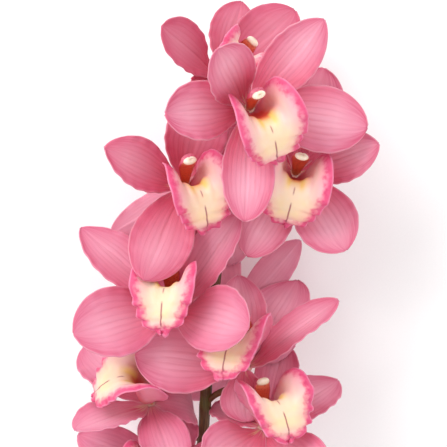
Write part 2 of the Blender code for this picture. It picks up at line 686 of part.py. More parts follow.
def settle():
    """The blades, bent smoothly up or down until none crosses another piece, and the pieces that stay."""
    blades, fixed = pieces_of_spray()
    near = {blade: neighbours(blade, blades + fixed) for blade in blades}
    projection = bend_projection()
    over = {}
    for settling_round in range(SETTLE_ROUNDS):
        push = {blade: np.zeros(len(blade.raised)) for blade in blades}
        count = {blade: np.zeros(len(blade.raised)) for blade in blades}
        touching = False
        for blade in blades:
            for piece in near[blade]:
                rows = crossings(blade.middles, piece)
                back = [] if piece.grid is not None else crossings(piece.probes, blade)
                if not rows and not back:
                    continue
                if (blade, piece) not in over:
                    heights = [z - (top[0].z + bottom[0].z) / 2 for k, z, top, bottom in rows]
                    heights += [(top[0].z + bottom[0].z) / 2 - z for k, z, top, bottom in back]
                    over[blade, piece] = lies_over(blade, piece, heights)
                    if piece.grid is not None:
                        over[piece, blade] = not over[blade, piece]
                sign = 1 if over[blade, piece] else -1
                share = 1.0 if piece.grid is None else 0.5
                for k, z, top, bottom in rows:
                    hit = top if sign > 0 else bottom
                    need = hit[0].z + sign * CLEARANCE - z
                    if need * sign <= 0:
                        continue
                    touching = True
                    push[blade][k] += need * share
                    count[blade][k] += 1
                    if piece.grid is not None:
                        for corner in piece.corners(hit[2]):
                            push[piece][corner] -= need * share
                            count[piece][corner] += 1
                for k, z, top, bottom in back:
                    hit = bottom if sign > 0 else top
                    need = z + sign * SKIN_CLEARANCE - hit[0].z
                    if need * sign <= 0:
                        continue
                    touching = True
                    for corner in blade.corners(hit[2]):
                        push[blade][corner] += need
                        count[blade][corner] += 1
        if not touching:
            break
        for blade in blades:
            if not count[blade].any():
                continue
            fresh = blade.raised + SETTLE_SHARE * push[blade] / np.maximum(count[blade], 1)
            fresh = (1 - BEND_SMOOTHNESS) * fresh + BEND_SMOOTHNESS * (projection @ fresh)
            fresh[: TEPAL_ACROSS + 1] = 0
            blade.raised = np.clip(fresh, -MOST_BEND, MOST_BEND)
            blade.refresh()
    return blades, fixed


def make_object(name, solid, shift):
    """An object in metres from a solid in millimetres."""
    points, faces = solid
    mesh = bpy.data.meshes.new(name)
    mesh.from_pydata(((points + shift) * MM).tolist(), [], faces.tolist())
    mesh.update()
    made = bpy.data.objects.new(name, mesh)
    bpy.context.scene.collection.objects.link(made)
    return made


def fused(name, solids, shift):
    """One object that joins the solids, which reach into each other."""
    made = make_object(name, solids[0], shift)
    others = bpy.data.collections.new(name + "_others")
    bpy.context.scene.collection.children.link(others)
    helpers = []
    for solid in solids[1:]:
        helper = make_object(name + "_helper", solid, shift)
        bpy.context.scene.collection.objects.unlink(helper)
        others.objects.link(helper)
        helpers.append(helper)
    join = made.modifiers.new("join", "BOOLEAN")
    join.operation = "UNION"
    join.solver = "MANIFOLD"
    join.operand_type = "COLLECTION"
    join.collection = others
    bpy.context.view_layer.update()
    joined = bpy.data.meshes.new_from_object(made.evaluated_get(bpy.context.evaluated_depsgraph_get()))
    made.modifiers.remove(join)
    made.data = joined
    for helper in helpers:
        bpy.data.objects.remove(helper)
    bpy.data.collections.remove(others)
    return made


def paint(made, look):
    """Give an object its own material and smooth shading."""
    colour, roughness = look
    material = bpy.data.materials.new(made.name)
    material.use_nodes = True
    shader = material.node_tree.nodes["Principled BSDF"]
    shader.inputs["Base Color"].default_value = (*colour, 1)
    shader.inputs["Roughness"].default_value = roughness
    shader.inputs["Metallic"].default_value = 0
    made.data.materials.clear()
    made.data.materials.append(material)
    made.data.polygons.foreach_set("use_smooth", [True] * len(made.data.polygons))


def main():
    """Build every node, with the middle of the outline at the origin and the lowest point at 0."""
    for existing in list(bpy.data.objects):
        bpy.data.objects.remove(existing)
    blades, fixed = settle()
    sheaths = [sheath_solid(y, length) for y, length in SHEATHS]
    solids = [piece.solid[0] for piece in blades + fixed]
    low = np.min([points.min(0) for points in solids], 0)
    high = np.max([points.max(0) for points in solids], 0)
    shift = np.array([-(low[0] + high[0]) / 2, -(low[1] + high[1]) / 2, -low[2]])
    for bloom in BLOOMS:
        tepals = [piece.solid for piece in blades if piece.bloom is bloom]
        made = fused(bloom.name + "_tepals", [receptacle_solid(bloom)] + tepals, shift)
        paint(made, LOOKS["tepals"])
        for piece in fixed:
            if piece.bloom is bloom and piece.kind in LOOKS:
                paint(make_object(f"{bloom.name}_{piece.kind}", piece.solid, shift), LOOKS[piece.kind])
    stalks = [piece.solid for piece in fixed if piece.kind == "stalk"]
    paint(fused("stem", stalks + sheaths, shift), LOOKS["stem"])


if __name__ == "__main__":
    main()
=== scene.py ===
# %% [markdown]
# # A cymbidium stem laid down on a studio table
#
# A cut cymbidium stem carries about ten waxy blooms, each as broad as a hand. This lesson dresses the
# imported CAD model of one: it keeps every bloom where the model has it, and gives each sepal, petal, lip
# and stalk a finer mesh and a living surface. We work in millimetres, as a grower would measure, and
# turn the numbers into metres only when a mesh is made.

# %% Load the frame
import math
from dataclasses import dataclass, field

import bpy
import numpy as np
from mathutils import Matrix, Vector
from mathutils.bvhtree import BVHTree


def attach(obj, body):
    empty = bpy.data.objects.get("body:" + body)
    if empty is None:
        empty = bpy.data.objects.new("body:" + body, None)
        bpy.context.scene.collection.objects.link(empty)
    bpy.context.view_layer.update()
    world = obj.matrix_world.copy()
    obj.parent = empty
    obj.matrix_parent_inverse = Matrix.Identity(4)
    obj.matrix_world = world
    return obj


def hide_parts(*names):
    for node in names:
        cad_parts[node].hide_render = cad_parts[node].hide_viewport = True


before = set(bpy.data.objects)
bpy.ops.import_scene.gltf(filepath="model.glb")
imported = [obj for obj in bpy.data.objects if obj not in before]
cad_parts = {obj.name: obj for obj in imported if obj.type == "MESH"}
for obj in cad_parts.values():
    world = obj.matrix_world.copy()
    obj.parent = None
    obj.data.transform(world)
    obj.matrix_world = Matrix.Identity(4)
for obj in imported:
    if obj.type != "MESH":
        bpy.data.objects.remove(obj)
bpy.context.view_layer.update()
MM = 0.001

# %% [markdown]
# ## Two curves that everything leans on
#
# Living edges have no corners. `smooth` makes an easy S between 0 and 1, and `through` runs a smooth
# curve through a few given points. Both could come from curve objects, but plain arrays let us ask for
# as many points as a piece needs: few for the settling below, many for the finished mesh.

# %% Smooth curves
def smooth(value):
    """0 below 0, 1 above 1 and an easy S between them."""
    value = np.clip(value, 0, 1)
    return value * value * (3 - 2 * value)


def through(points, at, even=False):
    """Points on a smooth curve through the given ones. at runs from 0 to 1, by chord length or evenly."""
    points = np.asarray(points, float).reshape(len(points), -1)
    steps = np.linalg.norm(np.diff(points, axis=0), axis=1)
    if even or points.shape[1] == 1:
        steps = np.ones(len(points) - 1)
    knots = np.concatenate([[0], np.cumsum(steps)]) / steps.sum()
    at = np.clip(np.atleast_1d(at), 0, 1)
    slopes = np.empty_like(points)
    slopes[1:-1] = (points[2:] - points[:-2]) / (knots[2:] - knots[:-2])[:, None]
    slopes[0] = (points[1] - points[0]) / (knots[1] - knots[0])
    slopes[-1] = (points[-1] - points[-2]) / (knots[-1] - knots[-2])
    span = np.clip(np.searchsorted(knots, at, side="right") - 1, 0, len(points) - 2)
    width = (knots[span + 1] - knots[span])[:, None]
    t = ((at - knots[span]) / width[:, 0])[:, None]
    return (
        (2 * t**3 - 3 * t**2 + 1) * points[span]
        + (t**3 - 2 * t**2 + t) * width * slopes[span]
        + (3 * t**2 - 2 * t**3) * points[span + 1]
        + (t**3 - t**2) * width * slopes[span + 1]
    )


print("half way along an S:", float(smooth(0.5)))

# %% [markdown]
# ## What a bloom is made of
#
# Botanists call sepals and petals alike *tepals* here: three sepals outside, two petals inside, and the
# sixth part is the lip. A tepal is described by the way it leaves the middle of the bloom: `swing` is its
# direction on a clock face, `lift` how far it rises out of that face, `curl` how it eases back, `hook`
# how its tip turns up and `cup` how its margins do.

# %% Tepals and blooms as small records
SEPAL = {"length": 59, "width": 36, "claw": 0.15, "widest": 0.60, "roundness": 0.54}
PETAL = {"length": 61, "width": 30, "claw": 0.16, "widest": 0.56, "roundness": 0.63}


@dataclass
class Tepal:
    """How one sepal or petal stands. Angles are in degrees."""

    kind: dict
    swing: float
    lift: float = 18
    curl: float = -22
    hook: float = 14
    sweep: float = 0
    cup: float = 24
    twist: float = 0
    length: float = 1.0
    width: float = 1.0
    wave: float = 0.8


@dataclass
class Bloom:
    """Where one bloom is and which way it looks. Its stalk leaves the stem at node."""

    name: str
    at: tuple
    turn: float
    tip: float
    roll: float
    node: float
    size: float = 1.0
    lip_girth: float = 1.0
    tepals: dict = field(default_factory=dict)


USUAL = {
    "dorsal": Tepal(SEPAL, 90, lift=30, curl=-20),
    "petal_left": Tepal(PETAL, 158, lift=22),
    "petal_right": Tepal(PETAL, 22, lift=22),
    "sepal_left": Tepal(SEPAL, 232, lift=12),
    "sepal_right": Tepal(SEPAL, 308, lift=12),
}
print("a bloom has", len(USUAL), "tepals, a lip and a column")

# %% [markdown]
# ## Where the blooms sit
#
# The stem grows along +Y and the camera looks down on it. `at` is the middle of a bloom, `turn`, `tip`
# and `roll` say which way it faces, and `node` is the height on the stem where its stalk leaves. Only what
# differs from a usual bloom is written down, the way a florist would point out the odd ones.

# %% The upper four blooms
UPPER = [
    Bloom(
        "bloom_01", (-2, 205, 72), turn=50, tip=38, roll=-60, node=196, size=0.95, lip_girth=0.72,
        tepals={
            "dorsal": {"swing": 84, "lift": 48, "length": 1.1},
            "petal_left": {"swing": 112, "lift": 30, "twist": -20, "length": 0.95},
            "petal_right": {"swing": 20, "lift": 20},
            "sepal_left": {"swing": 222, "lift": 28, "twist": -34, "width": 0.85},
            "sepal_right": {"swing": 286, "lift": -10, "length": 0.5},
        },
    ),
    Bloom(
        "bloom_02", (14, 186, 102), turn=14, tip=0, roll=21, node=160,
        tepals={
            "dorsal": {"swing": 114, "lift": 60, "width": 0.9},
            "petal_right": {"swing": 31, "lift": 28},
            "petal_left": {"kind": SEPAL, "swing": 164, "lift": 40, "width": 0.92},
            "sepal_right": {"swing": 330, "lift": 18, "length": 1.08, "width": 1.05},
            "sepal_left": {"swing": 242, "lift": 29, "length": 1.08, "width": 0.86},
        },
    ),
    Bloom(
        "bloom_03", (-22, 144, 77), turn=12, tip=16, roll=16, node=128, lip_girth=0.94,
        tepals={
            "dorsal": {"swing": 64, "lift": 54, "length": 0.9},
            "petal_left": {"swing": 149, "lift": 40, "length": 0.9},
            "petal_right": {"swing": 24, "lift": 12, "length": 0.62},
            "sepal_left": {"swing": 229, "lift": 14},
            "sepal_right": {"swing": 284, "lift": -8, "length": 0.68, "width": 0.9},
        },
    ),
    Bloom(
        "bloom_04", (40, 151, 71), turn=3, tip=6, roll=-13, node=120,
        tepals={
            "dorsal": {"swing": 88, "lift": 26},
            "petal_right": {"swing": 30, "lift": 38, "length": 0.82},
            "petal_left": {"swing": 165, "lift": 8, "length": 0.75},
            "sepal_right": {"swing": 314, "lift": 22, "length": 0.86},
            "sepal_left": {"swing": 252, "lift": 12, "length": 0.88, "width": 0.82},
        },
    ),
]
print("upper blooms:", len(UPPER))

# %% The lower five blooms
LOWER = [
    Bloom(
        "bloom_05", (-28, 76, 78), turn=-7, tip=45, roll=-3, node=50, size=1.03, lip_girth=0.9,
        tepals={
            "dorsal": {"swing": 96, "lift": 40},
            "petal_left": {"swing": 149, "lift": 34, "length": 1.08},
            "petal_right": {"swing": 48, "lift": 48},
            "sepal_left": {"swing": 219, "lift": 26, "twist": -34, "width": 1.1},
            "sepal_right": {"swing": 326, "lift": 32, "twist": 34, "width": 1.06},
        },
    ),
    Bloom(
        "bloom_06", (12, 43, 74), turn=-12, tip=58, roll=-10, node=20, size=1.02,
        tepals={
            "dorsal": {"swing": 82, "lift": 22, "length": 1.12},
            "petal_right": {"swing": 36, "lift": 38},
            "petal_left": {"swing": 110, "lift": 52, "length": 0.85},
            "sepal_left": {"swing": 206, "lift": 28, "twist": -44, "width": 1.1},
            "sepal_right": {"swing": 284, "lift": -58, "length": 0.5, "width": 0.8},
        },
    ),
    Bloom(
        "bloom_07", (22, 9, 74), turn=8, tip=56, roll=18, node=-20,
        tepals={
            "dorsal": {"swing": 54, "lift": 26, "width": 0.7},
            "petal_right": {"swing": 16, "lift": 18, "width": 1.15, "length": 0.9},
            "petal_left": {"swing": 114, "lift": 2, "length": 0.56},
            "sepal_left": {"swing": 214, "lift": 20, "twist": -30},
            "sepal_right": {"swing": 276, "lift": 12, "twist": 20, "length": 0.9},
        },
    ),
    Bloom(
        "bloom_08", (-41, 22, 64), turn=-8, tip=42, roll=-78, node=-2, size=0.96,
        tepals={
            "dorsal": {"swing": 90, "lift": 24, "curl": -110, "hook": 0, "length": 0.5},
            "petal_left": {"swing": 165, "lift": 18, "length": 0.62},
            "petal_right": {"swing": 10, "lift": 20},
            "sepal_left": {"swing": 215, "lift": 10},
            "sepal_right": {"swing": 300, "lift": 30, "twist": 20, "length": 0.86},
        },
    ),
    Bloom(
        "bloom_09", (-33, -19, 66), turn=-8, tip=30, roll=0, node=-45,
        tepals={
            "dorsal": {"swing": 88, "lift": 16, "length": 0.66},
            "petal_left": {"length": 0.86},
            "petal_right": {"swing": 10, "length": 0.8},
        },
    ),
]
print("lower blooms:", len(LOWER))

# %% The two blooms behind the stem
BEHIND = [
    Bloom(
        "bloom_10", (-6, 150, 40), turn=184, tip=3, roll=-5, node=112, size=0.95,
        tepals={
            "petal_right": {"swing": 48, "lift": 76, "curl": -12, "hook": 0},
            "petal_left": {"lift": 68, "curl": -12, "hook": 0},
            "sepal_left": {"swing": 262, "length": 0.9},
            "sepal_right": {"swing": 335, "length": 1.16, "width": 0.6},
        },
    ),
    Bloom(
        "bloom_11", (6, 70, 41), turn=176, tip=2, roll=-27, node=30,
        tepals={
            "petal_left": {"width": 0.7, "length": 0.92},
            "sepal_left": {"length": 0.62},
            "sepal_right": {"swing": 328, "length": 0.9},
        },
    ),
]
print("behind blooms:", len(BEHIND))
BLOOMS = UPPER + LOWER + BEHIND


def tepals_of(bloom):
    """The five tepals of a bloom with its own changes made."""
    made = {}
    for place, usual in USUAL.items():
        values = dict(usual.__dict__)
        values.update(bloom.tepals.get(place, {}))
        made[place] = Tepal(**values)
    return made


print("blooms:", len(BLOOMS), "tepals:", sum(len(tepals_of(bloom)) for bloom in BLOOMS))

# %% [markdown]
# ## The surface of one tepal
#
# A tepal starts as a narrow claw, widens past its middle and ends in a soft point. We first walk along its
# midrib, bending a little at each step, and then lay a row of points across at every step. The row is part
# of a circle, which gives the shallow bowl that cymbidium petals have. Sculpting would do as well, but then
# each of the 55 tepals would have to be made by hand.

# %% Midrib, outline and surface of a tepal
FINE = 80  # steps in which a midrib is summed up
TEPAL_START = 2.3  # distance of a tepal's base from the middle of the bloom
BLUNT_TIP = 0.9985  # share of the length at which the outline closes
LIFT_BEGINS = -0.04  # stretch of the midrib over which a tepal turns out of the face
LIFT_OVER = 0.2
TWIST_OVER = 0.45
ROW_SWELL = 0.06  # draws the rows together towards the tip
CUP_AT_BASE = 0.35  # share of the cup that a tepal has at its base and tip, and the rest of it
CUP_MORE = 0.65
CUP_LEAN = 1.2  # over 1, the cup is deepest past the middle
LEAST_CUP = 1e-4  # keeps the arc across a blade from having no bend at all
RIPPLES = 1.35  # waves along each margin
RIPPLE_OFFSET = 0.27  # between the waves of the two margins
RIPPLE_RISE = 2.5  # how soon after the base the waves set in


def half_width(shape, v):
    """Half the width of a tepal at v along it, as a share of its widest."""
    skew = math.log(0.5) / math.log(shape["widest"])
    blade = np.sin(np.pi * np.clip(v, 0, BLUNT_TIP) ** skew) ** shape["roundness"]
    claw = shape["claw"] * (1 - v) ** 2
    return np.sqrt(blade**2 + claw**2)


def midrib(tepal):
    """Fine points, tangents and normals along a tepal's midrib, from base to tip."""
    v = np.linspace(0, 1, FINE + 1)
    lifted = tepal.lift * smooth((v - LIFT_BEGINS) / LIFT_OVER)
    rise = np.radians(lifted + tepal.curl * v + tepal.hook * v**4)
    heading = np.radians(tepal.swing + tepal.sweep * v)
    along = np.stack([np.cos(heading) * np.cos(rise), np.sin(heading) * np.cos(rise), np.sin(rise)], 1)
    up = np.stack([-np.cos(heading) * np.sin(rise), -np.sin(heading) * np.sin(rise), np.cos(rise)], 1)
    step = tepal.kind["length"] * tepal.length / FINE
    middles = (along[1:] + along[:-1]) / 2
    points = np.concatenate([np.zeros((1, 3)), np.cumsum(middles * step, axis=0)])
    return v, points, along, up


def tepal_surface(tepal, across, along_count):
    """Middle surface of a tepal in its bloom's frame: rows of points from base to tip."""
    fine, points, tangents, normals = midrib(tepal)
    v = np.linspace(0, 1, along_count + 1)
    v = v + ROW_SWELL * np.sin(np.pi * v) * np.sin(np.pi * v)
    pick = lambda rows: np.stack([np.interp(v, fine, rows[:, k]) for k in range(3)], 1)
    centre, tangent, up = pick(points), pick(tangents), pick(normals)
    side = np.cross(up, tangent)
    turn = (math.radians(tepal.twist) * smooth(v / TWIST_OVER))[:, None]
    side, up = side * np.cos(turn) + up * np.sin(turn), up * np.cos(turn) - side * np.sin(turn)
    u = np.linspace(-1, 1, across + 1)
    reach = tepal.kind["width"] / 2 * tepal.width * half_width(tepal.kind, v)
    deepened = CUP_AT_BASE + CUP_MORE * np.sin(np.pi * np.clip(v, 0, 1) ** CUP_LEAN)
    cup = np.radians(tepal.cup) * deepened + LEAST_CUP
    bow = cup[:, None] * u[None, :]
    out = reach[:, None] * np.sin(bow) / cup[:, None]
    forward = reach[:, None] * (1 - np.cos(bow)) / cup[:, None]
    waves = RIPPLES * v[:, None] + RIPPLE_OFFSET * np.sign(u)[None, :]
    ripple = np.sin(2 * np.pi * waves + tepal.swing)
    forward = forward + tepal.wave * ripple * np.abs(u[None, :]) ** 3 * smooth(v * RIPPLE_RISE)[:, None]
    base = np.array([math.cos(math.radians(tepal.swing)), math.sin(math.radians(tepal.swing)), 0.0])
    surface = (
        base * TEPAL_START
        + centre[:, None, :]
        + side[:, None, :] * out[..., None]
        + up[:, None, :] * forward[..., None]
    )
    return surface, u, v, reach


surface, _, _, reach = tepal_surface(USUAL["dorsal"], 4, 6)
print("a dorsal sepal is", round(2 * reach.max(), 1), "mm wide; coarse grid", surface.shape)

# %% [markdown]
# ## The surface of the lip
#
# The lip is the sixth tepal, changed into a landing place for bees. Near the base its sides stand up round
# the column as two ears, and then a broad tongue, the midlobe, rolls over and hangs. We draw its middle line
# seen from the side, and say at each point how wide it is, how steep its walls are and how its margins flare.

# %% Lip surface
LIP_ROUTE = [
    (-3.2, 2.6), (-5.8, 9), (-6.6, 17), (-8, 24), (-13, 28.2), (-20, 26.6), (-27, 21.2), (-32, 14)
]
LIP_GIRTH = [5.0, 18.0, 25.0, 26.0, 21.5, 16.5, 13.5, 6.0]
LIP_WALL = [64, 84, 86, 76, 42, 14, 4, 0]
LIP_FLARE = [0, 18, 36, 48, 46, 38, 30, 20]
LIP_KEEL = 1.1  # height of the two keels
KEEL_AT = 0.42  # where they are highest along the lip, and how far they reach from there
KEEL_REACH = 0.17
KEEL_ACROSS = 0.25  # the same across the lip
KEEL_WIDTH = 0.1
WALL_SHARE = 0.55  # share of the half width over which the sides steepen, and then flare
FLARE_SHARE = 0.45
NEAR = 0.01  # share of the lip's length over which its direction is measured
LIP_THICKNESS = 0.9


def lip_surface(spread, across, along_count):
    """Middle surface of the lip in its bloom's frame, and half its width over the surface at each row."""
    s = np.linspace(0, 1, along_count + 1)
    route = through(LIP_ROUTE, s)
    ahead = through(LIP_ROUTE, np.clip(s + NEAR, 0, 1)) - through(LIP_ROUTE, np.clip(s - NEAR, 0, 1))
    ahead = ahead / np.linalg.norm(ahead, axis=1)[:, None]
    inward = np.stack([ahead[:, 1], -ahead[:, 0]], 1)
    girth = through(LIP_GIRTH, s)[:, 0] * spread
    wall = np.radians(through(LIP_WALL, s)[:, 0])
    flare = np.radians(through(LIP_FLARE, s)[:, 0])
    u = np.linspace(-1, 1, across + 1)
    fine = np.linspace(0, 1, FINE + 1)
    surface = np.zeros((len(s), len(u), 3))
    keel = LIP_KEEL * np.exp(-(((s - KEEL_AT) / KEEL_REACH) ** 2))
    for row in range(len(s)):
        steep = wall[row] * smooth(fine / WALL_SHARE)
        angle = steep - flare[row] * smooth((fine - WALL_SHARE) / FLARE_SHARE)
        middles = (angle[1:] + angle[:-1]) / 2
        out = np.concatenate([[0], np.cumsum(np.cos(middles))]) / FINE * girth[row]
        rise = np.concatenate([[0], np.cumsum(np.sin(middles))]) / FINE * girth[row]
        x = np.sign(u) * np.interp(np.abs(u), fine, out)
        keels = keel[row] * np.exp(-(((np.abs(u) - KEEL_ACROSS) / KEEL_WIDTH) ** 2))
        h = np.interp(np.abs(u), fine, rise) + keels
        surface[row, :, 0] = x
        surface[row, :, 1] = route[row, 0] + inward[row, 0] * h
        surface[row, :, 2] = route[row, 1] + inward[row, 1] * h
    return surface, u, s, girth


surface = lip_surface(1.0, 8, 8)[0]
print("the lip is", round(float(np.ptp(surface[..., 0])), 1), "mm across its ears")

# %% [markdown]
# ## Putting a bloom on the stem
#
# Each part so far lives in its bloom's own directions. `placed` turns and moves its points onto the stem.
# The stalk behind the bloom carries the ovary, and it leaves the stem upwards and arrives from straight
# behind, so it is a short Bezier curve.

# %% Stem, stalks and placing
STEM_RADIUS_CUT = 4.6
STEM_RADIUS_TOP = 2.2
STEM_ROUTE = [
    (-22, -300, 4.6), (-20, -215, 9), (-17, -130, 25), (-14, -60, 44), (-11, 10, 56),
    (-6, 75, 62), (1, 130, 64), (8, 176, 64), (11, 203, 64),
]
PEDICEL_RADIUS = 1.7
OVARY_RADIUS = 2.7
OVARY_NECK = 3  # straight stretch behind the bloom
OVARY_SWELLS = (-0.1, 1.3)  # the stretch of an even swelling that a stalk covers
PEDICEL_LEAVES = 0.35  # shares of the stalk's reach that shape its bend
PEDICEL_RISES = 0.25
PEDICEL_ARRIVES = 0.42
SEAT_GAP = 0.3  # between pieces that touch
RECEPTACLE_RADIUS = 3.9
RECEPTACLE_BACK = -2.4
RECEPTACLE_FRONT = 1.2


def bloom_rotation(bloom):
    """3x3 matrix that turns the bloom's own directions into the stem's."""
    turn, tip, roll = (math.radians(a) for a in (bloom.turn, bloom.tip, bloom.roll))
    about_z = np.array(
        [[math.cos(roll), -math.sin(roll), 0], [math.sin(roll), math.cos(roll), 0], [0, 0, 1]]
    )
    about_x = np.array([[1, 0, 0], [0, math.cos(tip), math.sin(tip)], [0, -math.sin(tip), math.cos(tip)]])
    about_y = np.array(
        [[math.cos(turn), 0, math.sin(turn)], [0, 1, 0], [-math.sin(turn), 0, math.cos(turn)]]
    )
    return about_y @ about_x @ about_z


def placed(bloom, points):
    """Points of the bloom's own frame, in the stem's frame, in millimetres."""
    return points * bloom.size @ bloom_rotation(bloom).T + np.array(bloom.at, float)


def pedicel_route(bloom, rings=7):
    """Centre line of a bloom's stalk and ovary, from its node on the stem to just behind the bloom."""
    stem = through(STEM_ROUTE, np.linspace(0, 1, 200))
    start = np.array([np.interp(bloom.node, stem[:, 1], stem[:, k]) for k in range(3)])
    facing = bloom_rotation(bloom)[:, 2]
    seat = np.array(bloom.at, float) + facing * (RECEPTACLE_BACK * bloom.size - SEAT_GAP)
    end = seat - facing * OVARY_NECK
    reach = np.linalg.norm(end - start)
    leave = start + PEDICEL_LEAVES * (end - start) + np.array([0, PEDICEL_RISES, 0]) * reach
    arrive = end - facing * PEDICEL_ARRIVES * reach
    t = np.linspace(0, 1, rings - 1)[:, None]
    route = (1 - t) ** 3 * start + 3 * t * (1 - t) ** 2 * leave + 3 * t**2 * (1 - t) * arrive + t**3 * end
    return np.concatenate([route, seat[None, :]])


def length_of(route):
    """Length of a line of points."""
    return float(np.linalg.norm(np.diff(np.asarray(route, float), axis=0), axis=1).sum())


def stem_radius(at):
    """Radius of the flower stalk at a share of its length."""
    return STEM_RADIUS_CUT + (STEM_RADIUS_TOP - STEM_RADIUS_CUT) * at


def pedicel_radii(rings):
    """Radii along a bloom's stalk, which swells into the ovary."""
    return PEDICEL_RADIUS + (OVARY_RADIUS - PEDICEL_RADIUS) * smooth(np.linspace(*OVARY_SWELLS, rings))


stalk_lengths = [length_of(pedicel_route(bloom)) for bloom in BLOOMS]
print("bloom stalks are", round(min(stalk_lengths)), "to", round(max(stalk_lengths)), "mm long")

# %% [markdown]
# ## From surfaces to closed solids
#
# A petal is a sheet with a little thickness, and a stalk is a tube. Both are made closed, with a front, a
# back and a rim, so that they have real volume. A Solidify modifier could thicken the sheet, but here the
# thickness has to fade from the midrib to the margin, so we do it point by point.

# %% Sheets and tubes
BLADE_MIDDLE = 1.5  # thickness along the midrib near the base
BLADE_EDGE = 0.7  # thickness at the margin and the tip
BLADE_TAPER = 0.6  # share of the midrib's extra thickness that is gone at the tip


def normals_of(surface):
    """Unit normals of a grid of points, on the side that its rows and columns turn towards."""
    normal = np.cross(np.gradient(surface, axis=1), np.gradient(surface, axis=0))
    return normal / np.maximum(np.linalg.norm(normal, axis=2), 1e-9)[..., None]


def sheet_solid(surface, thickness):
    """Closed mesh of a grid of points made thick. Its first half of the points is the back."""
    rows, columns = surface.shape[:2]
    shift = normals_of(surface) * thickness[..., None] / 2
    points = np.concatenate([(surface + shift).reshape(-1, 3), (surface - shift).reshape(-1, 3)])
    index = np.arange(rows * columns).reshape(rows, columns)
    near, far = index[:-1], index[1:]
    quads = np.stack([near[:, :-1], near[:, 1:], far[:, 1:], far[:, :-1]], 2).reshape(-1, 4)
    front = np.concatenate([quads[:, [0, 1, 2]], quads[:, [0, 2, 3]]])
    rim = np.concatenate([index[0, :-1], index[:-1, -1], index[-1, :0:-1], index[:0:-1, 0]])
    after = np.roll(rim, -1)
    other = rows * columns
    walls = np.concatenate(
        [np.stack([rim, rim + other, after], 1), np.stack([after, rim + other, after + other], 1)]
    )
    return points, np.concatenate([front, front[:, ::-1] + other, walls])


def kept_above_surface(points, half):
    """A blade that reaches the table lies flat on it, and keeps its thickness there."""
    points = points.copy()
    points[:, 2] = np.maximum(points[:, 2], 0)
    front, back = points[:half], points[half:]
    thin = np.abs(front[:, 2] - back[:, 2]) < BLADE_EDGE
    lying = thin & (np.minimum(front[:, 2], back[:, 2]) <= 0)
    upper_is_front = front[:, 2] >= back[:, 2]
    front[lying & upper_is_front, 2] = BLADE_EDGE
    back[lying & ~upper_is_front, 2] = BLADE_EDGE
    return points


def near_midrib(u, v):
    """1 on the midrib near the base, less towards the tip, and 0 at the margins."""
    return (1 - u[None, :] ** 2) * (1 - BLADE_TAPER * v[:, None])


def blade_solid(surface):
    """A sepal or petal with the given middle surface as a closed blade, thickest along its midrib."""
    v = np.linspace(0, 1, surface.shape[0])
    u = np.linspace(-1, 1, surface.shape[1])
    thickness = BLADE_EDGE + (BLADE_MIDDLE - BLADE_EDGE) * near_midrib(u, v)
    points, faces = sheet_solid(surface, thickness)
    return kept_above_surface(points, len(points) // 2), faces


def angles_round(sides, rings=1):
    """The angles of a tube's points, ring after ring."""
    return np.tile(np.arange(sides) * 2 * math.pi / sides, rings)


def tube_solid(route, half_widths, half_depths, sideways, sides):
    """Closed tube along a route. Its width lies along the direction given, and its ends are capped."""
    route = np.asarray(route, float)
    cosines, sines = np.cos(angles_round(sides))[:, None], np.sin(angles_round(sides))[:, None]
    rings = []
    for k, centre in enumerate(route):
        ahead = route[min(k + 1, len(route) - 1)] - route[max(k - 1, 0)]
        ahead = ahead / np.linalg.norm(ahead)
        wide = sideways - ahead * (sideways @ ahead)
        wide = wide / np.linalg.norm(wide)
        deep = np.cross(ahead, wide)
        rings.append(centre + half_widths[k] * cosines * wide + half_depths[k] * sines * deep)
    points = np.concatenate(rings + [route[:1], route[-1:]])
    first, last = len(points) - 2, len(points) - 1
    faces = []
    for k in range(len(route) - 1):
        for a in range(sides):
            b = (a + 1) % sides
            low, high = k * sides, (k + 1) * sides
            faces += [(low + a, low + b, high + b), (low + a, high + b, high + a)]
    top = (len(route) - 1) * sides
    for a in range(sides):
        b = (a + 1) % sides
        faces += [(first, b, a), (last, top + a, top + b)]
    return points, np.array(faces)


print("a coarse sepal has", len(blade_solid(tepal_surface(USUAL["dorsal"], 4, 6)[0])[1]), "triangles")

# %% [markdown]
# ## The column and its cap
#
# In the throat of an orchid stands the column, in which stamen and pistil have grown into one arched rod.
# A loose ivory cap sits on its end. Both are tubes of changing width, first coarse, and later fine.

# %% Column and cap
COLUMN_ROUTE = [(0.4, 1.8), (0.8, 4.0), (3.2, 11.0), (5.6, 19.0), (6.4, 27.0)]
COLUMN_HALF_WIDTHS = [2.4, 3.0, 4.0, 5.0, 4.9]
COLUMN_HALF_DEPTHS = [1.9, 1.9, 2.0, 2.6, 3.0]
CAP_LENGTH = 3.8
CAP_HALF_WIDTH = 3.9
CAP_HALF_DEPTH = 2.2
CAP_DROP = 0.7  # the cap sits this far towards the lip, below the column's rim
CAP_RING_SHARES = [0.35, 0.75, 1]  # where along the cap its rings are, after its seat
CAP_RING_SIZES = [0.9, 1.0, 0.8, 0.35]
TO_THE_RIGHT = np.array([1.0, 0, 0])
COARSE_SIDES = 8
COARSE_LIP = 8
COARSE_STEM_SIDES = 10
COARSE_STEM_RINGS = 24
COARSE_PEDICEL_SIDES = 7


def column_solid(bloom):
    """The column, an arched rod that is widest below its tip, with few faces."""
    at = np.linspace(0, 1, len(COLUMN_HALF_WIDTHS))
    route = np.array([(0, y, z) for y, z in through(COLUMN_ROUTE, at)])
    points, faces = tube_solid(route, COLUMN_HALF_WIDTHS, COLUMN_HALF_DEPTHS, TO_THE_RIGHT, COARSE_SIDES)
    return placed(bloom, points), faces


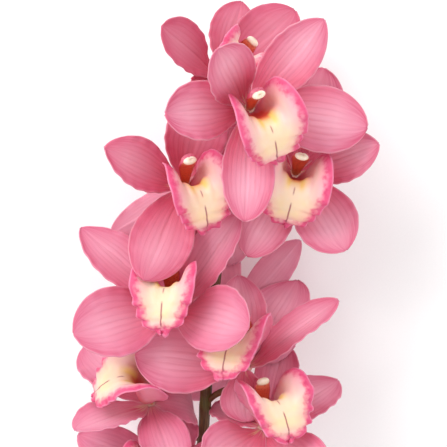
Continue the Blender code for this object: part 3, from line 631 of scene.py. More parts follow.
def cap_route(steps):
    """Points on the cap's axis at some distances from the end of the column."""
    end = np.array([0.0, *COLUMN_ROUTE[-1]])
    before = np.array([0.0, *COLUMN_ROUTE[-2]])
    ahead = (end - before) / np.linalg.norm(end - before)
    return end - np.array([0, CAP_DROP, 0]) + steps[:, None] * ahead


def cap_solid(bloom):
    """The cap on the end of the column, with few faces."""
    route = cap_route(np.array([SEAT_GAP] + [CAP_LENGTH * share for share in CAP_RING_SHARES]))
    sizes = np.array(CAP_RING_SIZES)
    points, faces = tube_solid(
        route, sizes * CAP_HALF_WIDTH, sizes * CAP_HALF_DEPTH, TO_THE_RIGHT, COARSE_SIDES
    )
    return placed(bloom, points), faces


def lip_solid(bloom):
    """The lip as a closed sheet, with few faces."""
    surface = lip_surface(bloom.lip_girth, COARSE_LIP, COARSE_LIP)[0]
    return sheet_solid(placed(bloom, surface), np.full(surface.shape[:2], LIP_THICKNESS))


def stalk_solids():
    """The flower stalk, then the stalk of each bloom, with few faces."""
    at = np.linspace(0, 1, COARSE_STEM_RINGS)
    radii = stem_radius(at)
    solids = [tube_solid(through(STEM_ROUTE, at), radii, radii, TO_THE_RIGHT, COARSE_STEM_SIDES)]
    for bloom in BLOOMS:
        route = pedicel_route(bloom)
        radii = pedicel_radii(len(route))
        solids.append(tube_solid(route, radii, radii, TO_THE_RIGHT, COARSE_PEDICEL_SIDES))
    return solids


print("a column is", round(float(np.ptp(column_solid(BLOOMS[1])[0][:, 2])), 1), "mm tall")

# %% [markdown]
# ## Letting the tepals settle
#
# Crowded blooms push each other's petals aside. The CAD model found that rest by bending each coarse blade
# smoothly up or down until it crossed nothing. Because nothing in it is random, running the same rule again
# gives the same bends, so the fine petals below land where the CAD petals are. A cloth simulation would also
# part them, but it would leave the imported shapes.

# %% One piece while it settles
TEPAL_ACROSS = 4
TEPAL_ALONG = 6
SETTLE_ROUNDS = 60
SETTLE_SHARE = 0.7  # share of a push that a blade gives way to in one round
BEND_SMOOTHNESS = 0.85  # 1 lets a blade only bend in plain arches
MOST_BEND = 16
CLEARANCE = 1.6  # between the middle of a blade and the piece beside it
SKIN_CLEARANCE = 0.9
FAR = 1000.0  # where the rays start that look for a piece, above and below it
OVER = [("bloom_02 sepal_left", "bloom_03"), ("bloom_03 sepal_left", "bloom_05")]  # front, behind


class Piece:
    """One piece of the spray while its tepals settle. A blade has a grid of middle points."""

    def __init__(self, bloom, kind, solid=None, grid=None):
        self.bloom = bloom
        self.kind = kind
        self.grid = grid
        self.raised = None if grid is None else np.zeros(grid.shape[0] * grid.shape[1])
        self.solid = solid
        if grid is None:
            self.probes = np.concatenate([solid[0], solid[0][solid[1]].mean(1)])
        self.refresh()

    def refresh(self):
        """Work the solid, its tree and its box out again after a bend."""
        if self.grid is not None:
            self.solid = blade_solid(self.bent())
            self.middles = self.bent().reshape(-1, 3)
        points, faces = self.solid
        self.tree = BVHTree.FromPolygons(points.tolist(), faces.tolist(), all_triangles=True)
        self.low, self.high = points.min(0), points.max(0)

    def bent(self):
        """The grid of middle points with its bend."""
        grid = self.grid.copy()
        grid[..., 2] += self.raised.reshape(grid.shape[:2])
        return grid

    def corners(self, face):
        """The middle points of a blade that belong to one of its faces."""
        return {int(corner) % len(self.middles) for corner in self.solid[1][face]}


def pieces_of_spray():
    """Every piece that takes part in the settling: the blades, and what stays."""
    blades = []
    fixed = []
    for bloom in BLOOMS:
        for place, tepal in tepals_of(bloom).items():
            surface = tepal_surface(tepal, TEPAL_ACROSS, TEPAL_ALONG)[0]
            blades.append(Piece(bloom, place, grid=placed(bloom, surface)))
        fixed.append(Piece(bloom, "lip", lip_solid(bloom)))
        fixed.append(Piece(bloom, "column", column_solid(bloom)))
        fixed.append(Piece(bloom, "cap", cap_solid(bloom)))
    for bloom, solid in zip([None] + BLOOMS, stalk_solids()):
        fixed.append(Piece(bloom, "stalk", solid))
    return blades, fixed


print("each tepal settles on a grid of", (TEPAL_ALONG + 1) * (TEPAL_ACROSS + 1), "points")

# %% Who crosses whom
def crossings(points, piece):
    """Rows of point number, its height, and the hits straight down onto a piece and straight up to it."""
    inside = (points[:, :2] >= piece.low[:2]) & (points[:, :2] <= piece.high[:2])
    rows = []
    for k in np.flatnonzero(inside.all(1)):
        x, y, z = points[k]
        top = piece.tree.ray_cast((x, y, FAR), (0, 0, -1))
        bottom = piece.tree.ray_cast((x, y, -FAR), (0, 0, 1))
        if top[0] is not None and bottom[0] is not None:
            rows.append((k, z, top, bottom))
    return rows


def neighbours(blade, pieces):
    """The pieces that could meet a blade. The tepals of one bloom grow together, so they don't count."""
    found = []
    for piece in pieces:
        if piece.bloom is blade.bloom and (piece.grid is not None or piece.kind == "stalk"):
            continue
        if (piece.low[:2] < blade.high[:2]).all() and (piece.high[:2] > blade.low[:2]).all():
            found.append(piece)
    return found


def lies_over(blade, piece, heights):
    """Whether a blade passes over a piece, as seen from above."""
    if piece.kind == "stalk":
        return bloom_rotation(blade.bloom)[2, 2] > 0
    for front, behind in OVER:
        names = (f"{blade.bloom.name} {blade.kind}", f"{piece.bloom.name} {piece.kind}")
        if names[0].startswith(front) and names[1].startswith(behind):
            return True
        if names[1].startswith(front) and names[0].startswith(behind):
            return False
    return float(np.median(heights)) > 0


def bend_projection():
    """Matrix that turns any raising of a blade's points into a smooth bend that leaves its base alone."""
    v = np.linspace(0, 1, TEPAL_ALONG + 1)
    u = np.linspace(-1, 1, TEPAL_ACROSS + 1)
    bends = np.stack(
        [np.outer(v**power, u**order).ravel() for power in (1, 2, 3) for order in (0, 1, 2)], 1
    )
    return bends @ np.linalg.pinv(bends)


print("a bend is made of", np.linalg.matrix_rank(bend_projection()), "plain shapes")

# %% Bend the tepals until they are clear
def settle():
    """The blades, bent smoothly up or down until none of them crosses another piece, and what stays."""
    blades, fixed = pieces_of_spray()
    near = {blade: neighbours(blade, blades + fixed) for blade in blades}
    projection = bend_projection()
    over = {}
    for turn in range(SETTLE_ROUNDS):
        push = {blade: np.zeros(len(blade.raised)) for blade in blades}
        count = {blade: np.zeros(len(blade.raised)) for blade in blades}
        met = 0
        for blade in blades:
            for piece in near[blade]:
                rows = crossings(blade.middles, piece)
                back = [] if piece.grid is not None else crossings(piece.probes, blade)
                if not rows and not back:
                    continue
                if (blade, piece) not in over:
                    heights = [z - (top[0].z + bottom[0].z) / 2 for k, z, top, bottom in rows]
                    heights += [(top[0].z + bottom[0].z) / 2 - z for k, z, top, bottom in back]
                    over[blade, piece] = lies_over(blade, piece, heights)
                    if piece.grid is not None:
                        over[piece, blade] = not over[blade, piece]
                sign = 1 if over[blade, piece] else -1
                share = 1.0 if piece.grid is None else 0.5
                for k, z, top, bottom in rows:
                    hit = top if sign > 0 else bottom
                    need = hit[0].z + sign * CLEARANCE - z
                    if need * sign <= 0:
                        continue
                    met += 1
                    push[blade][k] += need * share
                    count[blade][k] += 1
                    if piece.grid is not None:
                        for corner in piece.corners(hit[2]):
                            push[piece][corner] -= need * share
                            count[piece][corner] += 1
                for k, z, top, bottom in back:
                    hit = bottom if sign > 0 else top
                    need = z + sign * SKIN_CLEARANCE - hit[0].z
                    if need * sign <= 0:
                        continue
                    met += 1
                    for corner in blade.corners(hit[2]):
                        push[blade][corner] += need
                        count[blade][corner] += 1
        if not met:
            break
        for blade in blades:
            if not count[blade].any():
                continue
            fresh = blade.raised + SETTLE_SHARE * push[blade] / np.maximum(count[blade], 1)
            fresh = (1 - BEND_SMOOTHNESS) * fresh + BEND_SMOOTHNESS * (projection @ fresh)
            fresh[: TEPAL_ACROSS + 1] = 0
            blade.raised = np.clip(fresh, -MOST_BEND, MOST_BEND)
            blade.refresh()
    return blades, fixed, turn


blades, fixed, rounds = settle()
solids = [piece.solid[0] for piece in blades + fixed]
low = np.min([points.min(0) for points in solids], 0)
high = np.max([points.max(0) for points in solids], 0)
TO_FRAME = np.array([-(low[0] + high[0]) / 2, -(low[1] + high[1]) / 2, -low[2]])
print("settled in", rounds, "rounds; moved into the frame by", TO_FRAME.round(2), "mm")

# %% [markdown]
# ## From numbers to objects
#
# A finished piece is one mesh with smooth shading. Beside its points it carries a few numbers per point,
# such as how far along the petal it is. Blender calls these attributes, and a material can read them, so
# a vein or a margin stays in its place however the petal bends. That is more reliable than a UV map here.

# %% A maker of pieces
def made_piece(name, solids, values, material, slot, *replaced):
    """One object from several closed solids, in metres in the frame, with its numbers, finish and place."""
    points, faces, start = [], [], 0
    for solid_points, solid_faces in solids:
        points.append((solid_points + TO_FRAME) * MM)
        faces.append(solid_faces + start)
        start += len(solid_points)
    mesh = bpy.data.meshes.new(name)
    mesh.from_pydata(np.concatenate(points).tolist(), [], np.concatenate(faces).tolist())
    mesh.update()
    for key, numbers in values.items():
        layer = mesh.attributes.new(key, "FLOAT", "POINT")
        layer.data.foreach_set("value", np.concatenate(numbers).astype(np.float32))
    mesh.polygons.foreach_set("use_smooth", [True] * len(mesh.polygons))
    mesh.materials.append(material)
    piece = bpy.data.objects.new(name, mesh)
    bpy.context.scene.collection.objects.link(piece)
    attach(piece, "root")
    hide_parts(*replaced)
    return piece


def finer(grid, rows, columns):
    """A coarse grid of numbers read at more places, on smooth curves along its columns and its rows."""
    tall = through(grid, np.linspace(0, 1, rows), even=True)
    return through(tall.T, np.linspace(0, 1, columns), even=True).T


print("a settled blade goes from 7 x 5 points to", finer(blades[0].raised.reshape(7, 5), 41, 29).shape)

# %% [markdown]
# ## Colours and nodes
#
# The colours were chosen in sRGB, as they look on a screen, so one function turns their hex values into the
# linear light that a shader reckons in. One more function adds a node, sets it and links it, and that is all
# the help a node tree needs.

# %% Colour and node helpers
def linear(hex_colour):
    """A colour written as sRGB hex, in linear light with full opacity."""
    parts = [int(hex_colour[k : k + 2], 16) / 255 for k in (1, 3, 5)]
    return (*(c / 12.92 if c <= 0.04045 else ((c + 0.055) / 1.055) ** 2.4 for c in parts), 1.0)


def add(tree, kind, inputs=None, stops=None, **settings):
    """Add a node. inputs are values, nodes or sockets by name or number, and stops fill a colour ramp."""
    node = tree.nodes.new(kind)
    for key, value in settings.items():
        setattr(node, key, value)
    for key, value in (inputs or {}).items():
        named = [s for s in node.inputs if s.enabled and s.name == key]
        found = node.inputs[key] if isinstance(key, int) else named[0]
        if isinstance(value, bpy.types.Node):
            value = next(s for s in value.outputs if s.enabled)
        if isinstance(value, bpy.types.NodeSocket):
            tree.links.new(value, found)
        else:
            found.default_value = value
    if stops:
        ramp = node.color_ramp
        while len(ramp.elements) < len(stops):
            ramp.elements.new(1.0)
        for element, (at, colour) in zip(ramp.elements, stops):
            element.position = at
            element.color = linear(colour) if isinstance(colour, str) else (colour, colour, colour, 1)
    return node


def new_material(name, **surface):
    """A material with a Principled shader whose constant sockets are set. Returns both and the node tree."""
    material = bpy.data.materials.new(name)
    material.use_nodes = True
    shader = material.node_tree.nodes["Principled BSDF"]
    for key, value in surface.items():
        shader.inputs[key.replace("_", " ")].default_value = value
    return material, shader, material.node_tree


def dressed(shader, colour, bump):
    """Link the last colour node and the bump node of a finish to its shader."""
    links = shader.id_data.links
    links.new(next(s for s in colour.outputs if s.enabled), shader.inputs["Base Color"])
    links.new(bump.outputs["Normal"], shader.inputs["Normal"])


print("petal pink in linear light:", [round(c, 3) for c in linear("#E98FAA")[:3]])

# %% [markdown]
# ## Petal: waxy living tissue
#
# A cymbidium petal is thick for a flower, waxy to the touch and slightly see-through. Light enters it and
# comes out pinker, so the shader has some subsurface light and a satin gloss. Its colour deepens at the base
# and the margin, carries a painted highlight as a lighter band along the middle, and runs in veins from base
# to tip that lie about 3 mm apart. The back is a lighter pink, and most blooms lean a little to mauve or to
# red. An IOR of 1.45 is usual for plant wax.

# %% Waxy petal material
PETAL_NUMBERS = ("across", "along", "to_edge", "is_face", "tone", "grain_seed")
petal, petal_shader, tree = new_material(
    "waxy_petal", Roughness=0.46, IOR=1.45, Sheen_Weight=0.12, Sheen_Roughness=0.4,
    Subsurface_Weight=0.18, Subsurface_Radius=(1.0, 0.45, 0.35), Subsurface_Scale=1.6 * MM,
)
across, along, to_edge, is_face, tone, grain_seed = [
    add(tree, "ShaderNodeAttribute", attribute_name=name).outputs["Fac"] for name in PETAL_NUMBERS
]

# Streaks about 1.2 mm wide and 17 mm long carry the deep colour of the base out along the petal. The clouds
# are the same pattern drawn larger, about 5 mm wide and longer than the petal.
STREAKS_ACROSS = 9.0
STREAKS_ALONG = 2.2
streak_place = add(
    tree, "ShaderNodeCombineXYZ",
    {"X": add(tree, "ShaderNodeMath", {0: across, 1: STREAKS_ACROSS}, operation="MULTIPLY"),
     "Y": add(tree, "ShaderNodeMath", {0: along, 1: STREAKS_ALONG}, operation="MULTIPLY"), "Z": grain_seed},
)
streaks = add(
    tree, "ShaderNodeTexNoise", {"Vector": streak_place, "Scale": 1.6, "Detail": 4.0, "Roughness": 0.6}
)
clouds = add(tree, "ShaderNodeTexNoise", {"Vector": streak_place, "Scale": 0.35, "Detail": 2.0})
uneven = add(tree, "ShaderNodeMath", {0: streaks, 1: clouds}, operation="ADD")
uneven = add(tree, "ShaderNodeMath", {0: uneven, 1: -0.46, 2: 0.46}, operation="MULTIPLY_ADD")
flushed = add(tree, "ShaderNodeMath", {0: along, 1: uneven}, operation="ADD")
colour = add(
    tree, "ShaderNodeValToRGB", {"Fac": flushed},
    stops=[(0.0, "#D9BC84"), (0.045, "#D57A66"), (0.1, "#CE3653"), (0.28, "#DC5273"),
           (0.5, "#D86081"), (0.72, "#DE7B99"), (1.0, "#CD4E76")],
)
# Painted highlight: a lighter band down the middle of each petal, strongest past halfway along it.
middle = add(tree, "ShaderNodeMath", {0: across, 1: across}, operation="MULTIPLY")
middle = add(tree, "ShaderNodeMath", {0: middle, 1: -3.2}, operation="MULTIPLY")
middle = add(tree, "ShaderNodeMath", {0: middle}, operation="EXPONENT")
highlight_along = add(
    tree, "ShaderNodeValToRGB", {"Fac": along}, stops=[(0.2, 0.0), (0.5, 0.55), (0.72, 0.75), (1.0, 0.15)]
)
painted_highlight = add(tree, "ShaderNodeMath", {0: middle, 1: highlight_along}, operation="MULTIPLY")

# Distances to the edge are in mm.
near_edge = add(
    tree, "ShaderNodeMapRange",
    {"Value": to_edge, "From Min": 0.4, "From Max": 5.5, "To Min": 0.6, "To Max": 0.0},
)
rim = add(
    tree, "ShaderNodeMapRange",
    {"Value": to_edge, "From Min": 0.2, "From Max": 1.0, "To Min": 0.35, "To Max": 0.0},
)
# The first tint is the painted highlight; the others deepen the margin and lighten a thin rim.
for share, tint in ((painted_highlight, "#F2B4C6"), (near_edge, "#CB456D"), (rim, "#F0B9C7")):
    colour = add(tree, "ShaderNodeMix", {"Factor": share, "A": colour, "B": linear(tint)}, data_type="RGBA")
print("petal colour nodes so far:", len(tree.nodes))

# %% Veins of the petal
VEINS = 11  # across a petal
wobble = add(tree, "ShaderNodeMath", {0: streaks, 1: 6.0}, operation="MULTIPLY")
phase = add(tree, "ShaderNodeMath", {0: across, 1: VEINS * math.pi, 2: wobble}, operation="MULTIPLY_ADD")
lines = add(tree, "ShaderNodeMath", {0: phase}, operation="SINE")
lines = add(tree, "ShaderNodeMath", {0: lines, 1: 0.5, 2: 0.5}, operation="MULTIPLY_ADD")
lines = add(tree, "ShaderNodeMath", {0: lines, 1: 2.2}, operation="POWER")
vein_fade = add(
    tree, "ShaderNodeValToRGB", {"Fac": along}, stops=[(0.05, 0.1), (0.25, 1.0), (0.7, 0.75), (0.95, 0.0)]
)
patchy = add(
    tree, "ShaderNodeMapRange",
    {"Value": streaks, "From Min": 0.35, "From Max": 0.65, "To Min": 0.25, "To Max": 1.0},
)
veins = add(tree, "ShaderNodeMath", {0: lines, 1: vein_fade}, operation="MULTIPLY")
veins = add(tree, "ShaderNodeMath", {0: veins, 1: patchy}, operation="MULTIPLY")
vein_tint = add(tree, "ShaderNodeMath", {0: veins, 1: 0.42}, operation="MULTIPLY")
streak_tint = add(
    tree, "ShaderNodeMapRange",
    {"Value": streaks, "From Min": 0.3, "From Max": 0.7, "To Min": 0.0, "To Max": 0.3},
)
for share, tint in ((vein_tint, "#BC3559"), (streak_tint, "#F0A5B9")):
    colour = add(tree, "ShaderNodeMix", {"Factor": share, "A": colour, "B": linear(tint)}, data_type="RGBA")
print("petal nodes with veins:", len(tree.nodes))

# %% Back, tone and skin of the petal
back_colour = add(
    tree, "ShaderNodeMix", {"Factor": 0.42, "A": colour, "B": linear("#E4A4B6")}, data_type="RGBA"
)
colour = add(tree, "ShaderNodeMix", {"Factor": is_face, "A": back_colour, "B": colour}, data_type="RGBA")
mauve = add(tree, "ShaderNodeMath", {0: tone, 1: 0.42}, operation="MULTIPLY")
deep = add(
    tree, "ShaderNodeMapRange",
    {"Value": tone, "From Min": -1.0, "From Max": 0.0, "To Min": 0.6, "To Max": 0.0},
)
for share, tint in ((mauve, "#CE7797"), (deep, "#C23A5E")):
    colour = add(tree, "ShaderNodeMix", {"Factor": share, "A": colour, "B": linear(tint)}, data_type="RGBA")

# The skin has cells about 0.1 mm wide. They are drawn at 0.7 mm, the least that shows at this size.
place = add(tree, "ShaderNodeTexCoord").outputs["Object"]
skin = add(tree, "ShaderNodeTexNoise", {"Vector": place, "Scale": 1 / (0.7 * MM), "Detail": 2.0})
skin = add(tree, "ShaderNodeMath", {0: skin, 1: 0.05}, operation="MULTIPLY")
relief = add(tree, "ShaderNodeMath", {0: veins, 1: -0.16, 2: skin}, operation="MULTIPLY_ADD")
bump = add(tree, "ShaderNodeBump", {"Height": relief, "Distance": 1.0 * MM, "Strength": 0.8})
dressed(petal_shader, colour, bump)
print("petal nodes:", len(tree.nodes))

# %% [markdown]
# ## Lip: cream tongue with a rose margin
#
# The lip is the thickest and most painted part. Its throat is orange red, two yellow keels lead the bee in,
# the tongue is cream with yellow pools, and the ruffled margin is splashed with rose. One fine plum line,
# broken once, runs down the middle. The finish is the same wax as a petal's, a little glossier.

# %% Lip material
LIP_NUMBERS = ("along", "to_edge", "from_middle", "is_face")
lip_wax, lip_shader, tree = new_material(
    "painted_lip", Roughness=0.42, IOR=1.45,
    Subsurface_Weight=0.3, Subsurface_Radius=(1.0, 0.55, 0.4), Subsurface_Scale=1.5 * MM,
)
along, to_edge, from_middle, is_face = [
    add(tree, "ShaderNodeAttribute", attribute_name=name).outputs["Fac"] for name in LIP_NUMBERS
]
place = add(tree, "ShaderNodeTexCoord").outputs["Object"]

# Pools of colour are about 7 mm across, and the rose splashes 3.5 mm.
pools = add(tree, "ShaderNodeTexNoise", {"Vector": place, "Scale": 1 / (7 * MM), "Detail": 2.0})
splash = add(
    tree, "ShaderNodeTexNoise",
    {"Vector": place, "Scale": 1 / (3.5 * MM), "Detail": 2.0, "Roughness": 0.5},
)
throat_to_tip = add(
    tree, "ShaderNodeValToRGB", {"Fac": along},
    stops=[(0.0, "#CC4048"), (0.16, "#DD4C40"), (0.34, "#E2603F"), (0.4, "#EE9A62"),
           (0.45, "#F7D094"), (0.52, "#F6D9C0"), (0.8, "#F5D8B6"), (1.0, "#F4CCC4")],
)
yellow = add(
    tree, "ShaderNodeMapRange",
    {"Value": pools, "From Min": 0.42, "From Max": 0.62, "To Min": 0.0, "To Max": 0.5},
)
yellow_along = add(
    tree, "ShaderNodeValToRGB", {"Fac": along},
    stops=[(0.3, 0.0), (0.45, 0.7), (0.62, 0.5), (0.78, 1.0), (0.93, 0.1)],
)
yellow = add(tree, "ShaderNodeMath", {0: yellow, 1: yellow_along}, operation="MULTIPLY")

KEEL_FROM_MIDDLE = 4.6  # in mm
keel_away = add(tree, "ShaderNodeMath", {0: from_middle, 1: KEEL_FROM_MIDDLE}, operation="SUBTRACT")
keel_away = add(tree, "ShaderNodeMath", {0: keel_away}, operation="ABSOLUTE")
keel = add(
    tree, "ShaderNodeMapRange",
    {"Value": keel_away, "From Min": 0.8, "From Max": 2.6, "To Min": 1.0, "To Max": 0.0},
)
keel_along = add(
    tree, "ShaderNodeValToRGB", {"Fac": along}, stops=[(0.3, 0.0), (0.38, 1.0), (0.48, 0.9), (0.56, 0.0)]
)
keel = add(tree, "ShaderNodeMath", {0: keel, 1: keel_along}, operation="MULTIPLY")
print("lip colour nodes so far:", len(tree.nodes))

# %% Rose margin of the lip
walls = add(
    tree, "ShaderNodeMapRange",
    {"Value": from_middle, "From Min": 4.0, "From Max": 10.0, "To Min": 0.0, "To Max": 0.85},
)
walls_along = add(tree, "ShaderNodeValToRGB", {"Fac": along}, stops=[(0.0, 1.0), (0.5, 1.0), (0.65, 0.0)])
walls = add(tree, "ShaderNodeMath", {0: walls, 1: walls_along}, operation="MULTIPLY")
ears = add(
    tree, "ShaderNodeMapRange",
    {"Value": to_edge, "From Min": 2.0, "From Max": 11.0, "To Min": 0.85, "To Max": 0.0},
)
ears_along = add(
    tree, "ShaderNodeValToRGB", {"Fac": along}, stops=[(0.0, 1.0), (0.5, 1.0), (0.7, 0.7), (1.0, 0.6)]
)
ears = add(tree, "ShaderNodeMath", {0: ears, 1: ears_along}, operation="MULTIPLY")
wander = add(tree, "ShaderNodeMath", {0: splash, 1: -7.0, 2: to_edge}, operation="MULTIPLY_ADD")
past_claw = add(tree, "ShaderNodeMapRange", {"Value": along, "From Min": 0.08, "From Max": 0.26})
margin = add(
    tree, "ShaderNodeMapRange",
    {"Value": wander, "From Min": -1.2, "From Max": 2.8, "To Min": 0.95, "To Max": 0.0},
)
margin = add(tree, "ShaderNodeMath", {0: margin, 1: past_claw}, operation="MULTIPLY")
blotch = add(
    tree, "ShaderNodeMapRange",
    {"Value": splash, "From Min": 0.5, "From Max": 0.66, "To Min": 0.0, "To Max": 0.5},
)
blotch = add(tree, "ShaderNodeMath", {0: blotch, 1: margin}, operation="MULTIPLY")
rim = add(
    tree, "ShaderNodeMapRange",
    {"Value": to_edge, "From Min": 0.3, "From Max": 1.1, "To Min": 0.7, "To Max": 0.0},
)
rim = add(tree, "ShaderNodeMath", {0: rim, 1: past_claw}, operation="MULTIPLY")
print("lip nodes with its margin:", len(tree.nodes))

# %% Plum line of the lip, and its coats in order
line = add(
    tree, "ShaderNodeMapRange",
    {"Value": from_middle, "From Min": 0.2, "From Max": 0.65, "To Min": 0.8, "To Max": 0.0},
)
line_along = add(
    tree, "ShaderNodeValToRGB", {"Fac": along},
    stops=[(0.5, 0.0), (0.53, 0.75), (0.57, 0.75), (0.6, 0.0),
           (0.66, 0.0), (0.7, 1.0), (0.9, 1.0), (0.93, 0.0)],
)
line = add(tree, "ShaderNodeMath", {0: line, 1: line_along}, operation="MULTIPLY")
coats = [
    (yellow, "#F4D6A0"), (keel, "#F6D377"), (walls, "#F2C4C4"), (ears, "#EA8CA8"),
    (margin, "#DE4E7F"), (blotch, "#CF3368"), (rim, "#EE92B2"), (line, "#96304C"),
]
colour = throat_to_tip
for share, tint in coats:
    colour = add(tree, "ShaderNodeMix", {"Factor": share, "A": colour, "B": linear(tint)}, data_type="RGBA")
paled = add(tree, "ShaderNodeMath", {0: past_claw, 1: 0.75}, operation="MULTIPLY")
outside = add(
    tree, "ShaderNodeMix", {"Factor": paled, "A": colour, "B": linear("#E68CA6")}, data_type="RGBA"
)
colour = add(tree, "ShaderNodeMix", {"Factor": is_face, "A": outside, "B": colour}, data_type="RGBA")
relief = add(tree, "ShaderNodeMath", {0: splash, 1: 0.3}, operation="MULTIPLY")
bump = add(tree, "ShaderNodeBump", {"Height": relief, "Distance": 1.0 * MM, "Strength": 0.5})
dressed(lip_shader, colour, bump)
print("lip nodes:", len(tree.nodes))

# %% [markdown]
# ## Column and anther cap
#
# The column is fleshy and smooth. Its back is crimson, and its belly is orange red with fine dark freckles.
# Real freckles are about 0.5 mm wide, and they are drawn at 0.9 mm so that they show. The anther cap is ivory
# and almost dry, so it shines less than the wax.

# %% Column material
column_flesh, column_shader, tree = new_material(
    "column_flesh", Roughness=0.38, IOR=1.45,
    Subsurface_Weight=0.15, Subsurface_Radius=(1.0, 0.3, 0.2), Subsurface_Scale=1.0 * MM,
)
belly = add(tree, "ShaderNodeAttribute", attribute_name="belly").outputs["Fac"]
along = add(tree, "ShaderNodeAttribute", attribute_name="along").outputs["Fac"]
place = add(tree, "ShaderNodeTexCoord").outputs["Object"]
freckles = add(tree, "ShaderNodeTexNoise", {"Vector": place, "Scale": 1 / (0.9 * MM), "Detail": 2.0})
back = add(
    tree, "ShaderNodeValToRGB", {"Fac": along},
    stops=[(0.0, "#D9A86E"), (0.25, "#D9506A"), (0.8, "#CF3A58"), (1.0, "#E0708A")],
)
front = add(
    tree, "ShaderNodeValToRGB", {"Fac": along},
    stops=[(0.0, "#E0C27A"), (0.3, "#EA764E"), (0.85, "#E05C48"), (1.0, "#EC8C6C")],
)
colour = add(tree, "ShaderNodeMix", {"Factor": belly, "A": back, "B": front}, data_type="RGBA")
dots = add(
    tree, "ShaderNodeMapRange",
    {"Value": freckles, "From Min": 0.56, "From Max": 0.64, "To Min": 0.0, "To Max": 0.35},
)
colour = add(tree, "ShaderNodeMix", {"Factor": dots, "A": colour, "B": linear("#9A1F30")}, data_type="RGBA")
bump = add(tree, "ShaderNodeBump", {"Height": freckles, "Distance": 0.3 * MM, "Strength": 0.3})
dressed(column_shader, colour, bump)
print("column nodes:", len(tree.nodes))

# %% Cap material
anther_cap, cap_shader, tree = new_material(
    "ivory_anther_cap", Roughness=0.55, IOR=1.45,
    Subsurface_Weight=0.2, Subsurface_Radius=(1.0, 0.8, 0.5), Subsurface_Scale=1.0 * MM,
)
along = add(tree, "ShaderNodeAttribute", attribute_name="along").outputs["Fac"]
place = add(tree, "ShaderNodeTexCoord").outputs["Object"]
dust = add(tree, "ShaderNodeTexNoise", {"Vector": place, "Scale": 1 / (0.8 * MM), "Detail": 3.0})
ivory = add(
    tree, "ShaderNodeValToRGB", {"Fac": along},
    stops=[(0.0, "#E7B6A2"), (0.25, "#FBF1DC"), (0.8, "#FFF6E4"), (1.0, "#F2DCC0")],
)
dusted = add(
    tree, "ShaderNodeMapRange",
    {"Value": dust, "From Min": 0.5, "From Max": 0.7, "To Min": 0.0, "To Max": 0.35},
)
colour = add(tree, "ShaderNodeMix", {"Factor": dusted, "A": ivory, "B": linear("#EFD9A8")}, data_type="RGBA")
bump = add(tree, "ShaderNodeBump", {"Height": dust, "Distance": 0.25 * MM, "Strength": 0.35})
dressed(cap_shader, colour, bump)
print("materials so far:", len(bpy.data.materials))

# %% [markdown]
# ## Stem, bloom stalks and dry sheaths
#
# The flower stalk is green tissue that has turned olive brown in the sun, with fibres along it. The stalks of
# the blooms are tan, and lightest where the ovary meets the bloom. Round the lower stem sit old sheaths,
# thin and dry as paper. The fibres are about 0.3 mm wide and are drawn at 0.8 mm so that they show. A circle
# of sine and cosine round the stem carries them, so that they close behind it without a seam.

# %% Stem material
FIBRES_ROUND = 4.0
FIBRES_ALONG = 0.06  # for each mm, which makes a fibre about 13 mm long
stem_skin, stem_shader, tree = new_material("olive_stem_skin", Roughness=0.5, IOR=1.45)
round_it = add(tree, "ShaderNodeAttribute", attribute_name="round_it").outputs["Fac"]
along_mm = add(tree, "ShaderNodeAttribute", attribute_name="along_mm").outputs["Fac"]
sine = add(tree, "ShaderNodeMath", {0: round_it}, operation="SINE")
cosine = add(tree, "ShaderNodeMath", {0: round_it}, operation="COSINE")
fibre_place = add(
    tree, "ShaderNodeCombineXYZ",
    {"X": add(tree, "ShaderNodeMath", {0: sine, 1: FIBRES_ROUND}, operation="MULTIPLY"),
     "Y": add(tree, "ShaderNodeMath", {0: cosine, 1: FIBRES_ROUND}, operation="MULTIPLY"),
     "Z": add(tree, "ShaderNodeMath", {0: along_mm, 1: FIBRES_ALONG}, operation="MULTIPLY")},
)
fibres = add(
    tree, "ShaderNodeTexNoise", {"Vector": fibre_place, "Scale": 1.3, "Detail": 4.0, "Roughness": 0.65}
)
place = add(tree, "ShaderNodeTexCoord").outputs["Object"]
patches = add(tree, "ShaderNodeTexNoise", {"Vector": place, "Scale": 1 / (28 * MM), "Detail": 2.0})
green = add(
    tree, "ShaderNodeValToRGB", {"Fac": fibres},
    stops=[(0.3, "#4C5A22"), (0.55, "#6E7A33"), (0.75, "#8A9248")],
)
brown = add(
    tree, "ShaderNodeValToRGB", {"Fac": fibres},
    stops=[(0.3, "#3C2410"), (0.55, "#5F3F1E"), (0.75, "#7E5A32")],
)
browned = add(
    tree, "ShaderNodeMapRange",
    {"Value": along_mm, "From Min": 250.0, "From Max": 330.0, "To Min": -0.12, "To Max": 0.16},
)
browned = add(tree, "ShaderNodeMath", {0: browned, 1: patches}, operation="ADD")
browned = add(
    tree, "ShaderNodeMapRange",
    {"Value": browned, "From Min": 0.42, "From Max": 0.58, "To Min": 0.0, "To Max": 1.0},
)
colour = add(tree, "ShaderNodeMix", {"Factor": browned, "A": green, "B": brown}, data_type="RGBA")
bump = add(tree, "ShaderNodeBump", {"Height": fibres, "Distance": 0.5 * MM, "Strength": 0.5})
dressed(stem_shader, colour, bump)
print("stem nodes:", len(tree.nodes))

